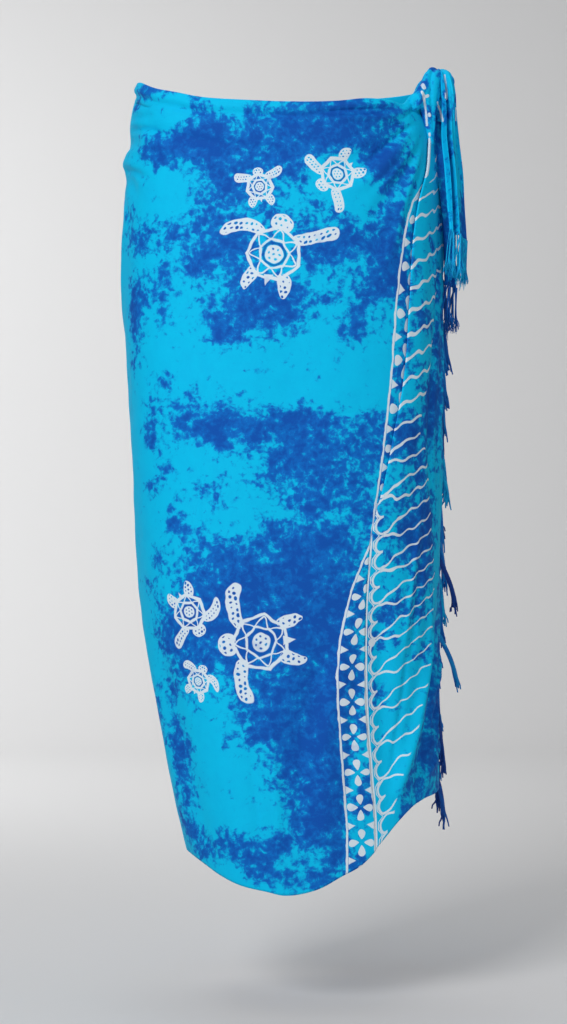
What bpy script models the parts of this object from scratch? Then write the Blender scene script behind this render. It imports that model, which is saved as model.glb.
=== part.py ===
"""A sarong as it is worn: one length of fringed cloth wound once round the waist, lapped and knotted at the hip.

Metres, +Z up. The origin is the centre of the waist opening, the front faces -Y, and the knot is at +X.
A place on the cloth is an angle in degrees round the body, 0 at the front and growing towards +X, a height, and how
far it stands out from the innermost layer.
"""

import math

import bmesh
import bpy
import numpy as np

# Cloth
WALL = 0.0015
SEAM = 0.0004
LAYER_STEP = 0.0028
COVERED_DROP = 0.0014
TURN_RADIUS = 0.00195
TURN_DEPTH = 0.026
TURN_ARC = (45.0, 90.0, 135.0, 180.0)
TURN_MIDDLE = 0.45
ARC_PER_DEGREE = 0.0027
FULLNESS = 0.10
TYPICAL_HEM = -0.85
EDGE_STEPS = 5

# Height, how far below the waist edge it stands, and half width, of the edge's soft roll and of the crease under it
WAIST_ROLL = (0.0022, 0.006, 0.0045)
WAIST_CREASE = (-0.0014, 0.0145, 0.0035)

# Where the stretches of cloth begin and end
LEFT_SEAM = -92.0
SEAM_ANGLE = 0.16
BACK_SEAM = -180.0
BACK_END = -268.0
BACK_END_AT_WAIST = -282.0
BACK_END_HEIGHTS = (-0.080, -0.045)
OUTER_END_TOP = -0.024
OUTER_END_SLANT = 0.014
OUTER_END_ANGLES = (78.0, 94.0)
UNDER_LAP_TOP = -0.108
UNDER_LAP_DEPTH = 0.0105
UNDER_LAP_JOINS = (13.0, 0.6)

# The inner end's free edge: its angle at the waist, how far it slants away, over what depth, and how it bends
INNER_EDGE = (-296.0, 46.0, 0.78, 0.8)

# Angles between which the outer layer rises over the inner end
LAP_RISES = (-86.0, -38.0)

# Angles past the pleat's fold between which the front sinks below it, and the border comes down off the front's edge
FRONT_SINKS = (-3.5, 0.5)
BORDER_SINKS = (6.0, 17.0)

# The height where the pleat opens, and the heights between which the front and the border reach their layers
PLEAT_OPENS = -0.505
FRONT_COVERED = (-0.505, -0.475)
BORDER_CLOSED = (-0.550, -0.500)

# Fringe
FRINGE_GAP = 0.0007
STRAND_WIDTH = 0.0016
STRAND_THICKNESS = 0.0013
STRAND_TAPER = 0.08
STRAND_LIFT = 0.0012
STRIP_WIDTH = 0.0045
STRIP_THICKNESS = 0.0015
EDGE_STRANDS = 60
EDGE_FRINGE_TOP = -0.044
EDGE_FRINGE_ANGLE = 91.0
EDGE_FRINGE_LIFT = 0.001

# Distance past the strip, drop, and share of the curl, at each point of a strand of the outer end
EDGE_STRAND = (
    (0.004, 0.0015, 0.05),
    (0.009, 0.009, 0.25),
    (0.015, 0.026, 0.60),
    (0.023, 0.047, 1.00),
)

# How far a strand curls out: the least, then a height, a rate, a start and a sharpness for two kinds of tuft
CURL_LEAST = 0.004
CURL_TUFTS = ((0.006, 1.7, 0.0, 2), (0.010, 0.37, 0.6, 8))

# Height, then how far the cloth reaches to the left, to the right, forward and back
REACH = (
    (-0.920, 0.094, 0.177, 0.134, 0.100),
    (-0.900, 0.101, 0.177, 0.134, 0.100),
    (-0.800, 0.128, 0.176, 0.134, 0.096),
    (-0.700, 0.146, 0.175, 0.132, 0.090),
    (-0.600, 0.162, 0.176, 0.130, 0.088),
    (-0.450, 0.173, 0.178, 0.127, 0.095),
    (-0.300, 0.181, 0.180, 0.124, 0.116),
    (-0.190, 0.183, 0.180, 0.120, 0.126),
    (-0.050, 0.177, 0.171, 0.112, 0.108),
    (0.000, 0.169, 0.161, 0.106, 0.096),
    (0.030, 0.163, 0.158, 0.104, 0.094),
)

# Angle, then the height of the waist edge
WAIST_EDGE = (
    (-282.0, -0.006),
    (-262.0, 0.000),
    (-225.0, 0.004),
    (-180.0, 0.004),
    (-135.0, 0.006),
    (-98.0, 0.009),
    (-84.0, 0.006),
    (-74.0, 0.003),
    (-51.0, -0.012),
    (-39.0, -0.019),
    (-30.0, -0.025),
    (-15.0, -0.030),
    (20.0, -0.031),
    (30.0, -0.027),
    (42.0, -0.027),
    (50.0, -0.029),
    (57.0, -0.018),
    (62.0, -0.018),
    (67.0, -0.021),
    (72.0, -0.027),
    (80.0, -0.036),
)

# Angle, then the height of the hem
HEM_EDGE = (
    (-345.0, -0.765),
    (-300.0, -0.772),
    (-270.0, -0.792),
    (-250.0, -0.812),
    (-220.0, -0.842),
    (-180.0, -0.858),
    (-140.0, -0.866),
    (-92.0, -0.868),
    (-56.0, -0.869),
    (-38.0, -0.882),
    (-25.0, -0.891),
    (-10.0, -0.897),
    (4.0, -0.901),
    (12.0, -0.894),
    (19.0, -0.882),
    (26.0, -0.871),
    (35.0, -0.847),
    (44.0, -0.823),
    (58.0, -0.806),
    (72.0, -0.803),
    (98.0, -0.798),
)

# Height, then the angles of the pleat's fold and of the outer end, and how far the front runs on below the fold
BORDER_LINES = (
    (-0.905, 32.0, 90.0, 0.0),
    (-0.820, 32.0, 91.0, 0.0),
    (-0.768, 30.7, 91.0, 0.0),
    (-0.718, 29.3, 91.0, 0.0),
    (-0.627, 28.4, 91.0, 0.0),
    (-0.560, 29.0, 92.0, 0.0),
    (-0.494, 31.7, 93.0, 0.3),
    (-0.452, 35.7, 93.0, 3.0),
    (-0.398, 39.8, 93.0, 4.0),
    (-0.349, 43.7, 94.0, 4.0),
    (-0.244, 47.3, 94.0, 4.0),
    (-0.193, 49.0, 94.0, 4.0),
    (-0.157, 51.7, 94.0, 4.0),
    (-0.133, 54.6, 94.0, 4.0),
    (-0.097, 61.8, 94.0, 4.0),
    (-0.060, 67.0, 94.0, 4.0),
    (-0.030, 71.0, 94.0, 4.0),
    (0.020, 72.0, 94.0, 4.0),
)

# Height in millimetres, half width in millimetres, then the fold's path as angles and heights
FOLDS = (
    (-4.0, 9, ((49, -0.047), (36, -0.074), (23, -0.097), (10, -0.110))),
    (3.0, 8, ((53, -0.060), (42, -0.084), (31, -0.112), (19, -0.134))),
    (-3.5, 8, ((56, -0.070), (45, -0.105), (36, -0.140), (27, -0.170))),
    (2.6, 9, ((58, -0.090), (48, -0.135), (40, -0.180), (33, -0.225))),
    (-2.2, 6, ((54, -0.044), (38, -0.057), (24, -0.067))),
    (-3.0, 7, ((-66, -0.040), (-48, -0.057), (-29, -0.073), (-8, -0.086), (14, -0.098))),
    (2.4, 9, ((-70, -0.055), (-48, -0.074), (-28, -0.092), (-6, -0.106))),
    (-3.4, 5, ((-90, -0.010), (-68, -0.022), (-47, -0.030))),
    (-2.6, 4, ((-84, -0.034), (-62, -0.038), (-50, -0.040))),
    (-4.6, 11, ((-100, -0.060), (-78, -0.062), (-56, -0.068))),
    (3.6, 10, ((-100, -0.082), (-80, -0.086), (-56, -0.094))),
    (-3.2, 9, ((-98, -0.104), (-74, -0.106), (-58, -0.130))),
    (3.0, 15, ((-100, -0.300), (-84, -0.210), (-76, -0.125))),
    (-2.6, 16, ((-96, -0.520), (-84, -0.400), (-78, -0.280))),
    (-6.5, 16, ((17, -0.600), (12, -0.663), (8, -0.712), (6, -0.760), (6, -0.900))),
    (3.6, 16, ((22, -0.560), (18, -0.640), (15, -0.720), (13, -0.800), (13, -0.890))),
    (4.0, 26, ((-36, -0.560), (-28, -0.680), (-22, -0.800), (-20, -0.900))),
    (-3.6, 20, ((-62, -0.600), (-52, -0.700), (-46, -0.790), (-42, -0.890))),
    (3.2, 18, ((-80, -0.560), (-70, -0.680), (-62, -0.780), (-58, -0.880))),
    (-2.6, 26, ((10, -0.200), (4, -0.330), (2, -0.450), (4, -0.580))),
    (-5.0, 13, ((34, -0.560), (35, -0.640), (36, -0.720), (37, -0.850))),
    (7.5, 8, ((68, -0.560), (66, -0.622), (57, -0.693), (52, -0.731), (44, -0.781), (41, -0.815))),
    (-7.0, 11, ((80, -0.580), (76, -0.650), (66, -0.720), (58, -0.765), (52, -0.810))),
    (-3.6, 8, ((78, -0.120), (74, -0.220), (66, -0.320), (64, -0.420), (72, -0.540))),
    (2.8, 7, ((86, -0.130), (84, -0.260), (76, -0.380), (78, -0.500))),
    (-4.5, 9, ((110, -0.040), (124, -0.080), (140, -0.130), (158, -0.170))),
    (3.8, 10, ((108, -0.070), (120, -0.130), (134, -0.200), (150, -0.260))),
    (-3.8, 9, ((112, -0.020), (132, -0.045), (156, -0.078), (180, -0.096))),
    (3.0, 9, ((200, -0.060), (222, -0.076), (246, -0.082), (262, -0.078))),
    (-3.6, 9, ((204, -0.090), (224, -0.100), (244, -0.104), (262, -0.100))),
    (-6.0, 20, ((104, -0.140), (108, -0.330), (112, -0.560), (116, -0.850))),
    (5.0, 22, ((126, -0.240), (130, -0.430), (134, -0.640), (136, -0.880))),
    (-6.5, 22, ((146, -0.230), (150, -0.450), (152, -0.660), (154, -0.890))),
    (5.5, 24, ((176, -0.330), (174, -0.520), (173, -0.700), (172, -0.890))),
    (-6.0, 22, ((204, -0.280), (200, -0.480), (196, -0.680), (194, -0.890))),
    (5.0, 22, ((228, -0.230), (224, -0.440), (220, -0.660), (218, -0.890))),
    (-4.6, 20, ((252, -0.300), (248, -0.500), (244, -0.700), (242, -0.890))),
)

# Distance along the tied corners, then the centre of the loop and its radius
KNOT_LOOP = (
    (0.0, 0.1650, -0.0600, -0.0300, 0.0082),
    (1.0, 0.1650, -0.0595, -0.0210, 0.0110),
    (2.0, 0.1652, -0.0585, -0.0090, 0.0124),
    (3.0, 0.1680, -0.0550, 0.0030, 0.0120),
    (4.0, 0.1755, -0.0510, 0.0082, 0.0102),
    (5.0, 0.1825, -0.0485, 0.0030, 0.0100),
    (6.0, 0.1860, -0.0470, -0.0090, 0.0094),
    (7.0, 0.1870, -0.0465, -0.0215, 0.0080),
)
KNOT_BAND = (
    (0.0, 0.1760, -0.0280, -0.0320, 0.0062),
    (1.0, 0.1780, -0.0340, -0.0220, 0.0085),
    (2.0, 0.1765, -0.0520, -0.0150, 0.0098),
    (3.0, 0.1680, -0.0640, -0.0050, 0.0082),
    (4.0, 0.1600, -0.0640, 0.0040, 0.0050),
)
KNOT_LOOP_RINGS = 13
KNOT_BAND_RINGS = 9
KNOT_SIDES = 20
KNOT_GROOVES = 5
KNOT_GROOVE_DEPTH = 0.15
KNOT_GROOVE_TWIST = 0.25
KNOT_VOXEL = 0.0031

# Distance down the tail, then its middle, its half width and the depth of its pleats
TAILS = {
    "tail_outer": (
        (0.00, 0.1870, -0.0460, -0.0268, 0.0078, 0.0050),
        (0.25, 0.1874, -0.0465, -0.0600, 0.0115, 0.0062),
        (0.50, 0.1905, -0.0470, -0.1000, 0.0142, 0.0066),
        (0.75, 0.1935, -0.0465, -0.1450, 0.0164, 0.0062),
        (1.00, 0.1955, -0.0455, -0.1850, 0.0172, 0.0050),
    ),
    "tail_inner": (
        (0.00, 0.1770, -0.0240, -0.0350, 0.0060, 0.0045),
        (0.25, 0.1835, -0.0190, -0.0850, 0.0070, 0.0048),
        (0.50, 0.1890, -0.0150, -0.1350, 0.0085, 0.0050),
        (0.75, 0.1920, -0.0125, -0.1850, 0.0095, 0.0050),
        (1.00, 0.1935, -0.0110, -0.2280, 0.0100, 0.0044),
    ),
}
TAIL_PLEATS = {"tail_outer": 2.5, "tail_inner": 1.5}
TAIL_LINES = {"tail_outer": (11, 15), "tail_inner": (8, 15)}
TAIL_TURN = {"tail_outer": 14.0, "tail_inner": 62.0}
TAIL_PLEAT_DRIFT = 1.2
TAIL_SLANT = 0.006
TAIL_STRANDS = {"tail_outer": 16, "tail_inner": 10}
TAIL_FRINGE = {"tail_outer": 0.048, "tail_inner": 0.052}
TAIL_FRINGE_REACH = 0.96
TAIL_FRINGE_SPREAD = 0.007
TAIL_FRINGE_LEAST = 0.86
TAIL_STRAND_SHARES = (0.12, 0.4, 0.7, 1.0)

# Distance down from the waist edge of the first lines of a panel with a turned edge
TOP_LINES = (0.0026, 0.0060, 0.0100, 0.0140, 0.0200, 0.0320)
PANEL_LINES = {"front_wrap": 25, "back_left": 16, "back_right": 16, "border_panel": 25, "under_lap": 10}
PANEL_COLUMNS = {"front_wrap": 24, "back_left": 12, "back_right": 14, "border_panel": 14, "under_lap": 9}
ROW_CROWDING = 0.5
# How much closer the columns stand towards the edge where they start or end
CROWD_START = {"back_right": 1.2}
CROWD_END = {"under_lap": 2.0, "front_wrap": 1.25}

# The share of a fold's path over which it rises and fades, and how high it is at its ends
FOLD_RISES = 0.3
FOLD_FADES = 0.72
FOLD_ENDS = 0.15

# Name, then the colour, roughness and metallic value of its material
FINISHES = {
    "front_wrap": ((0.004, 0.36, 0.72, 1.0), 0.75, 0.0),
    "border_panel": ((0.01, 0.27, 0.62, 1.0), 0.75, 0.0),
    "back_left": ((0.006, 0.22, 0.58, 1.0), 0.75, 0.0),
    "back_right": ((0.006, 0.22, 0.58, 1.0), 0.75, 0.0),
    "under_lap": ((0.005, 0.18, 0.50, 1.0), 0.75, 0.0),
    "knot": ((0.006, 0.25, 0.55, 1.0), 0.75, 0.0),
    "tail_outer": ((0.005, 0.32, 0.62, 1.0), 0.75, 0.0),
    "tail_inner": ((0.007, 0.12, 0.42, 1.0), 0.75, 0.0),
    "fringe_edge": ((0.007, 0.14, 0.45, 1.0), 0.8, 0.0),
    "fringe_tail_outer": ((0.005, 0.36, 0.66, 1.0), 0.8, 0.0),
    "fringe_tail_inner": ((0.007, 0.14, 0.45, 1.0), 0.8, 0.0),
}


def dense(table, samples=400):
    """Many rows along the smooth curve that passes through a table's rows, whose first column is the place."""
    rows = np.array(table, dtype=float)
    place, value = rows[:, 0], rows[:, 1:]
    slope = np.gradient(value, place, axis=0)
    at = np.linspace(place[0], place[-1], samples)
    row = np.clip(np.searchsorted(place, at, side="right") - 1, 0, len(place) - 2)
    step = (place[row + 1] - place[row])[:, None]
    t = ((at - place[row])[:, None]) / step
    curve = (
        (2 * t**3 - 3 * t**2 + 1) * value[row]
        + (t**3 - 2 * t**2 + t) * step * slope[row]
        + (3 * t**2 - 2 * t**3) * value[row + 1]
        + (t**3 - t**2) * step * slope[row + 1]
    )
    return at, curve


def read(curve, at, column=0):
    places, values = curve
    return np.interp(at, places, values[:, column])


REACH_CURVE = dense(REACH)
WAIST_CURVE = dense(WAIST_EDGE)
HEM_CURVE = dense(HEM_EDGE)
BORDER_CURVE = dense(BORDER_LINES)
FOLD_LINES = [(rise * 0.001, half_width * 0.001, dense([(i, *point) for i, point in enumerate(path)], 24)[1])
              for rise, half_width, path in FOLDS]


def smooth_step(start, end, value):
    t = np.clip((np.asarray(value, dtype=float) - start) / (end - start), 0.0, 1.0)
    return t * t * (3 - 2 * t)


def fold_height(angle, height):
    """How far the folds raise or sink the cloth at a place."""
    turned = np.mod(np.asarray(angle, dtype=float) + 180.0, 360.0) - 180.0
    total = np.zeros(np.broadcast(turned, height).shape)
    for rise, half_width, line in FOLD_LINES:
        middle = line[:, 0].mean()
        near = turned + 360.0 * np.round((middle - turned) / 360.0)
        across = (near[..., None] - line[:, 0]) * ARC_PER_DEGREE
        down = np.asarray(height)[..., None] - line[:, 1]
        distance = np.hypot(across, down)
        along = distance.argmin(axis=-1) / (len(line) - 1)
        share = smooth_step(0.0, FOLD_RISES, along) * (1 - smooth_step(FOLD_FADES, 1.0, along))
        total += rise * (FOLD_ENDS + (1 - FOLD_ENDS) * share) * np.exp(-((distance.min(axis=-1) / half_width) ** 2))
    return total


def waist_roll(below):
    """The soft roll of the turned waist edge, and the crease under it."""
    return sum(rise * np.exp(-(((below - middle) / half_width) ** 2))
               for rise, middle, half_width in (WAIST_ROLL, WAIST_CREASE))


def tube(angle, height, out):
    """A point this far out from the innermost layer, before its folds."""
    turn = np.radians(angle)
    s, c = np.sin(turn), np.cos(turn)
    left, right, front, back = (read(REACH_CURVE, height, column) for column in range(4))
    side = np.where(s > 0, right, left)
    face = np.where(c > 0, front, back)
    x = side * s * (1 + FULLNESS * c * c)
    y = -face * c * (1 + FULLNESS * s * s)
    along_x = side * (c * (1 + FULLNESS * c * c) - 2 * FULLNESS * s * s * c)
    along_y = face * (s * (1 + FULLNESS * s * s) - 2 * FULLNESS * s * c * c)
    length = np.hypot(along_x, along_y)
    return np.stack([x + out * along_y / length, y - out * along_x / length, height + 0 * x], axis=-1)


def front_layer(angle, height):
    """How far the outer layer stands out where it laps over the inner end, and less where the pleat covers it."""
    past = angle - read(BORDER_CURVE, height, 0)
    covered = smooth_step(*FRONT_SINKS, past) * smooth_step(*FRONT_COVERED, height)
    return LAYER_STEP * smooth_step(*LAP_RISES, angle) - COVERED_DROP * covered


def pleat_layer(angle, height):
    """How far the border stands out: two steps over the hidden edge of the front, one beyond it."""
    past = angle - read(BORDER_CURVE, height, 0)
    closed = smooth_step(*BORDER_CLOSED, height)
    return LAYER_STEP * (1 + closed * (1 - smooth_step(*BORDER_SINKS, past)))


def row_fractions(lines):
    """Rows that stand closer near the waist and the hem, where the folds are."""
    even = np.linspace(0.0, 1.0, lines)
    return even - ROW_CROWDING * np.sin(2 * math.pi * even) / (2 * math.pi)


def panel_rows(name, waist, hem, turned):
    """The heights down one column, and how far each is from the turned edge's outer face."""
    rest = row_fractions(PANEL_LINES[name])[1:]
    depth = waist - hem
    below = [*TOP_LINES, *(TOP_LINES[-1] + rest * (depth - TOP_LINES[-1]))]
    rows = [(waist - b, 0.0, b) for b in below]
    if not turned:
        return [(waist, 0.0, 0.0), *rows]
    arc = [(waist - TURN_RADIUS + TURN_RADIUS * math.sin(t), -TURN_RADIUS + TURN_RADIUS * math.cos(t))
           for t in map(math.radians, TURN_ARC)]
    inside = [(waist - TURN_DEPTH * share, -2 * TURN_RADIUS) for share in (TURN_MIDDLE, 1.0)]
    return [(z, out, 0.0) for z, out in [*inside[::-1], *arc[::-1]]] + rows


def column_angle(fraction, line, start, end):
    """The angle of a column at a row, where the panel's two edges may lean: both are functions of the height."""
    return start(line) + fraction * (end(line) - start(line))


def panel_points(name, start, end, layer, turned=True, top=None, folds=fold_height):
    """The grid of points of one stretch of cloth, from its left edge to its right and from its waist to its hem."""
    columns = np.linspace(0.0, 1.0, PANEL_COLUMNS[name]) ** CROWD_START.get(name, 1.0)
    columns = 1.0 - (1.0 - columns) ** CROWD_END.get(name, 1.0)
    grid = []
    for fraction in columns:
        angle = column_angle(fraction, 0.0, start, end)
        for _ in range(EDGE_STEPS):
            waist = top(angle) if top else float(read(WAIST_CURVE, angle))
            angle = column_angle(fraction, waist, start, end)
        low = column_angle(fraction, TYPICAL_HEM, start, end)
        for _ in range(EDGE_STEPS):
            hem = float(read(HEM_CURVE, low))
            low = column_angle(fraction, hem, start, end)
        column = []
        for height, inset, below in panel_rows(name, waist, hem, turned):
            a = column_angle(fraction, height, start, end)
            out = layer(a, height) + inset + float(folds(a, height))
            out += float(waist_roll(below)) if turned and below > 0 else 0.0
            column.append(tube(a, height, out))
        grid.append(column)
    return grid


def finish(name):
    colour, roughness, metallic = FINISHES[name]
    material = bpy.data.materials.new(name)
    material.use_nodes = True
    shader = material.node_tree.nodes["Principled BSDF"]
    shader.inputs["Base Color"].default_value = colour
    shader.inputs["Roughness"].default_value = roughness
    shader.inputs["Metallic"].default_value = metallic
    return material


def add_object(name, bm, collection):
    mesh = bpy.data.meshes.new(name)
    bm.to_mesh(mesh)
    bm.free()
    mesh.shade_smooth()
    obj = bpy.data.objects.new(name, mesh)
    collection.objects.link(obj)
    mesh.materials.append(finish(name))
    return obj


def surface(grid):
    """An open sheet through a grid of points, its faces outwards when columns run to the right and rows run down."""
    bm = bmesh.new()
    verts = [[bm.verts.new(point) for point in column] for column in grid]
    for left, right in zip(verts, verts[1:]):
        for row in range(len(left) - 1):
            bm.faces.new((left[row], left[row + 1], right[row + 1], right[row]))
    return bm


def add_wall(name, grid, collection):
    """A wall of cloth: an open sheet with its thickness inwards."""
    wall = add_object(name, surface(grid), collection)
    solidify = wall.modifiers.new("thickness", "SOLIDIFY")
    solidify.thickness = WALL
    solidify.offset = -1.0
    solidify.use_quality_normals = True
    return wall


def add_front_wrap(collection):
    def end(height):
        hidden = read(BORDER_CURVE, height, 2)
        gap = SEAM / ARC_PER_DEGREE * (height < PLEAT_OPENS)
        return float(read(BORDER_CURVE, height, 0) + hidden * (height >= PLEAT_OPENS) - gap)

    return add_wall("front_wrap", panel_points("front_wrap", lambda _: LEFT_SEAM + SEAM_ANGLE, end,
                                               lambda a, z: float(front_layer(a, z))), collection)


def add_border_panel(collection):
    def start(height):
        return float(read(BORDER_CURVE, height, 0))

    def end(height):
        return float(read(BORDER_CURVE, height, 1))

    def top(angle):
        return OUTER_END_TOP - OUTER_END_SLANT * float(smooth_step(*OUTER_END_ANGLES, angle))

    return add_wall("border_panel", panel_points("border_panel", start, end,
                                                 lambda a, z: float(pleat_layer(a, z)), False, top), collection)


def back_end(height):
    return float(BACK_END + (BACK_END_AT_WAIST - BACK_END) * smooth_step(*BACK_END_HEIGHTS, height))


def add_back_left(collection):
    return add_wall("back_left", panel_points("back_left", lambda _: BACK_SEAM + SEAM_ANGLE,
                                              lambda _: LEFT_SEAM - SEAM_ANGLE, lambda a, z: 0.0), collection)


def add_back_right(collection):
    return add_wall("back_right", panel_points("back_right", back_end, lambda _: BACK_SEAM - SEAM_ANGLE,
                                               lambda a, z: 0.0), collection)


def add_under_lap(collection):
    """The inner end lies plain behind the folds of the front, and only follows them where it joins the back."""
    seam = BACK_END - SEAM / ARC_PER_DEGREE
    at_waist, slant, depth, bend = INNER_EDGE

    def inner_edge(height):
        return at_waist - slant * max(0.0, -height / depth) ** bend

    def joined(angle):
        return float(smooth_step(seam - UNDER_LAP_JOINS[0], seam - UNDER_LAP_JOINS[1], angle))

    def folds(angle, height):
        return joined(angle) * fold_height(angle, height)

    return add_wall("under_lap", panel_points("under_lap", inner_edge, lambda _: seam,
                                              lambda a, z: UNDER_LAP_DEPTH * (joined(a) - 1.0), False,
                                              lambda _: UNDER_LAP_TOP, folds), collection)


def swept_frame(points):
    """A direction along the path at each point, and two across it that turn as little as they can."""
    along = np.gradient(points, axis=0)
    along /= np.linalg.norm(along, axis=1)[:, None]
    side = np.cross(along[0], (0.0, 0.0, 1.0) if abs(along[0][2]) < 0.9 else (0.0, 1.0, 0.0))
    frames = []
    for direction in along:
        side = side - direction * side.dot(direction)
        side /= np.linalg.norm(side)
        frames.append((side, np.cross(direction, side)))
    return frames


def add_bundle(bm, table, rings):
    """Adds a gathered bundle of cloth along a path: a grooved, closed tube."""
    _, rows = dense(table, rings)
    centres, radii = rows[:, :3], rows[:, 3]
    loops = []
    for ring, (centre, radius, (u, v)) in enumerate(zip(centres, radii, swept_frame(centres))):
        loop = []
        for k in range(KNOT_SIDES):
            turn = 2 * math.pi * k / KNOT_SIDES
            groove = 1 + KNOT_GROOVE_DEPTH * math.cos(KNOT_GROOVES * turn + KNOT_GROOVE_TWIST * ring)
            loop.append(bm.verts.new(centre + radius * groove * (u * math.cos(turn) + v * math.sin(turn))))
        loops.append(loop)
    for low, high in zip(loops, loops[1:]):
        for k in range(KNOT_SIDES):
            j = (k + 1) % KNOT_SIDES
            bm.faces.new((low[k], low[j], high[j], high[k]))
    bm.faces.new(loops[0][::-1])
    bm.faces.new(loops[-1])


def add_knot(collection):
    """The tied corners: a loop of gathered cloth and the band that passes over it, fused by a remesh."""
    bm = bmesh.new()
    add_bundle(bm, KNOT_LOOP, KNOT_LOOP_RINGS)
    add_bundle(bm, KNOT_BAND, KNOT_BAND_RINGS)
    bmesh.ops.recalc_face_normals(bm, faces=bm.faces)
    knot = add_object("knot", bm, collection)
    fuse = knot.modifiers.new("fuse", "REMESH")
    fuse.mode = "VOXEL"
    fuse.voxel_size = KNOT_VOXEL
    fuse.use_smooth_shade = True
    return knot


def tail_point(name, across, down, row):
    """A point of a hanging tail: its pleats are a wave across it, deeper towards the knot."""
    x, y, z, half_width, depth = row
    turn = math.radians(TAIL_TURN[name])
    wave = math.sin(math.pi * TAIL_PLEATS[name] * (across + 1) + TAIL_PLEAT_DRIFT * down)
    sideways = half_width * across
    forward = depth * wave
    return (
        x + sideways * math.cos(turn) + forward * math.sin(turn),
        y + sideways * math.sin(turn) - forward * math.cos(turn),
        z - TAIL_SLANT * across * down,
    )


def tail_grid(name):
    columns, lines = TAIL_LINES[name]
    downs, rows = dense(TAILS[name], lines)
    return [[tail_point(name, across, down, row) for down, row in zip(downs, rows)]
            for across in np.linspace(-1.0, 1.0, columns)]


def add_tail(name, collection):
    return add_wall(name, tail_grid(name), collection)


def strand_ring(bm, centre, across, through, size):
    half_width, half_thickness = STRAND_WIDTH * size / 2, STRAND_THICKNESS * size / 2
    corners = ((-1, -1), (1, -1), (1, 1), (-1, 1))
    return [bm.verts.new(centre + across * half_width * i + through * half_thickness * j) for i, j in corners]


def fringe(bm, edge, away, facing, strands, path):
    """A narrow strip along an edge, with a strand from every second stretch of its far side.

    edge, away and facing are rows of points: where the strip begins, the direction the fringe leaves in, and the
    direction that the cloth faces. path(i) gives the points of strand i after its root.
    """
    half = STRIP_THICKNESS / 2
    rings = []
    for point, outward, normal in zip(edge, away, facing):
        near, far = point, point + outward * STRIP_WIDTH
        rings.append([bm.verts.new(p) for p in (near - normal * half, far - normal * half,
                                                far + normal * half, near + normal * half)])
    for k, (a, b) in enumerate(zip(rings, rings[1:])):
        for i in range(4):
            j = (i + 1) % 4
            if i == 1 and k % 2 == 1:
                continue
            bm.faces.new((a[i], a[j], b[j], b[i]))
    bm.faces.new(rings[0][::-1])
    bm.faces.new(rings[-1])
    for strand in range(strands):
        a, b = rings[2 * strand + 1], rings[2 * strand + 2]
        last = [a[1], b[1], b[2], a[2]]
        points = path(strand)
        normal = facing[2 * strand + 1]
        for n, point in enumerate(points):
            ahead = points[min(n + 1, len(points) - 1)] - points[max(n - 1, 0)]
            along = ahead / np.linalg.norm(ahead)
            across = np.cross(normal, along)
            across /= np.linalg.norm(across)
            if across.dot(np.array(last[1].co) - np.array(last[0].co)) < 0:
                across = -across
            ring = strand_ring(bm, point, across, np.array(normal), 1.0 - STRAND_TAPER * n)
            for i in range(4):
                j = (i + 1) % 4
                bm.faces.new((last[i], last[j], ring[j], ring[i]))
            last = ring
        bm.faces.new(last)
    bmesh.ops.recalc_face_normals(bm, faces=bm.faces)


def edge_fringe_line():
    """Angle, height and distance out of the outer end, a point for each end of each stretch of the strip."""
    bottom = float(read(HEM_CURVE, EDGE_FRINGE_ANGLE)) + EDGE_FRINGE_LIFT
    heights = np.linspace(EDGE_FRINGE_TOP, bottom, 2 * EDGE_STRANDS + 1)
    return [(float(read(BORDER_CURVE, z, 1)) + FRINGE_GAP / ARC_PER_DEGREE, z) for z in heights]


def curl(strand):
    """How far the tip of a strand of the outer end stands out from the cloth."""
    return CURL_LEAST + sum(height * math.sin(strand * rate + start) ** sharpness
                            for height, rate, start, sharpness in CURL_TUFTS)


def add_fringe_edge(collection):
    line = edge_fringe_line()
    middle_out = LAYER_STEP - WALL / 2
    edge, away, facing = [], [], []
    for angle, z in line:
        out = middle_out + float(fold_height(angle, z))
        here = tube(angle, z, out)
        ahead = tube(angle + 1.0, z, out)
        outward = (ahead - here) / np.linalg.norm(ahead - here)
        edge.append(here)
        away.append(outward)
        facing.append(np.array((outward[1], -outward[0], 0.0)))

    def path(strand):
        angle, z = line[2 * strand + 1]
        z -= 0.5 * (line[1][1] - line[2][1])
        start = angle + STRIP_WIDTH / ARC_PER_DEGREE
        tip = curl(strand)
        base = middle_out + float(fold_height(angle, z)) + STRAND_LIFT
        return [tube(start + forward / ARC_PER_DEGREE, z - drop, base + tip * share)
                for forward, drop, share in EDGE_STRAND]

    bm = bmesh.new()
    fringe(bm, edge, away, facing, EDGE_STRANDS, path)
    return add_object("fringe_edge", bm, collection)


def add_fringe_tail(name, collection):
    """The fringe at the foot of a tail: it follows the tail's pleats and hangs straight down."""
    strands = TAIL_STRANDS[name]
    count = 2 * strands + 1
    down = np.array((0.0, 0.0, -1.0))
    row = dense(TAILS[name], 2)[1][-1]
    places = np.linspace(-TAIL_FRINGE_REACH, TAIL_FRINGE_REACH, count)
    foot = np.array([tail_point(name, across, 1.0, row) for across in places])
    tangent = np.gradient(foot, axis=0)
    facing = np.cross(tangent, down)
    facing /= np.linalg.norm(facing, axis=1)[:, None]
    edge = foot - facing * WALL / 2 + down * SEAM
    away = np.tile(down, (count, 1))

    def path(strand):
        here = edge[2 * strand + 1] + down * STRIP_WIDTH
        spread = (strand / (strands - 1) - 0.5) * 2
        uneven = TAIL_FRINGE_LEAST + (1 - TAIL_FRINGE_LEAST) * math.sin(strand * 2.3)
        length = TAIL_FRINGE[name] * uneven
        side = (foot[-1] - foot[0]) / np.linalg.norm(foot[-1] - foot[0])
        return [here + down * length * share + side * TAIL_FRINGE_SPREAD * spread * share**1.5
                for share in TAIL_STRAND_SHARES]

    bm = bmesh.new()
    fringe(bm, edge, away, facing, strands, path)
    return add_object(f"fringe_{name}", bm, collection)


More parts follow.
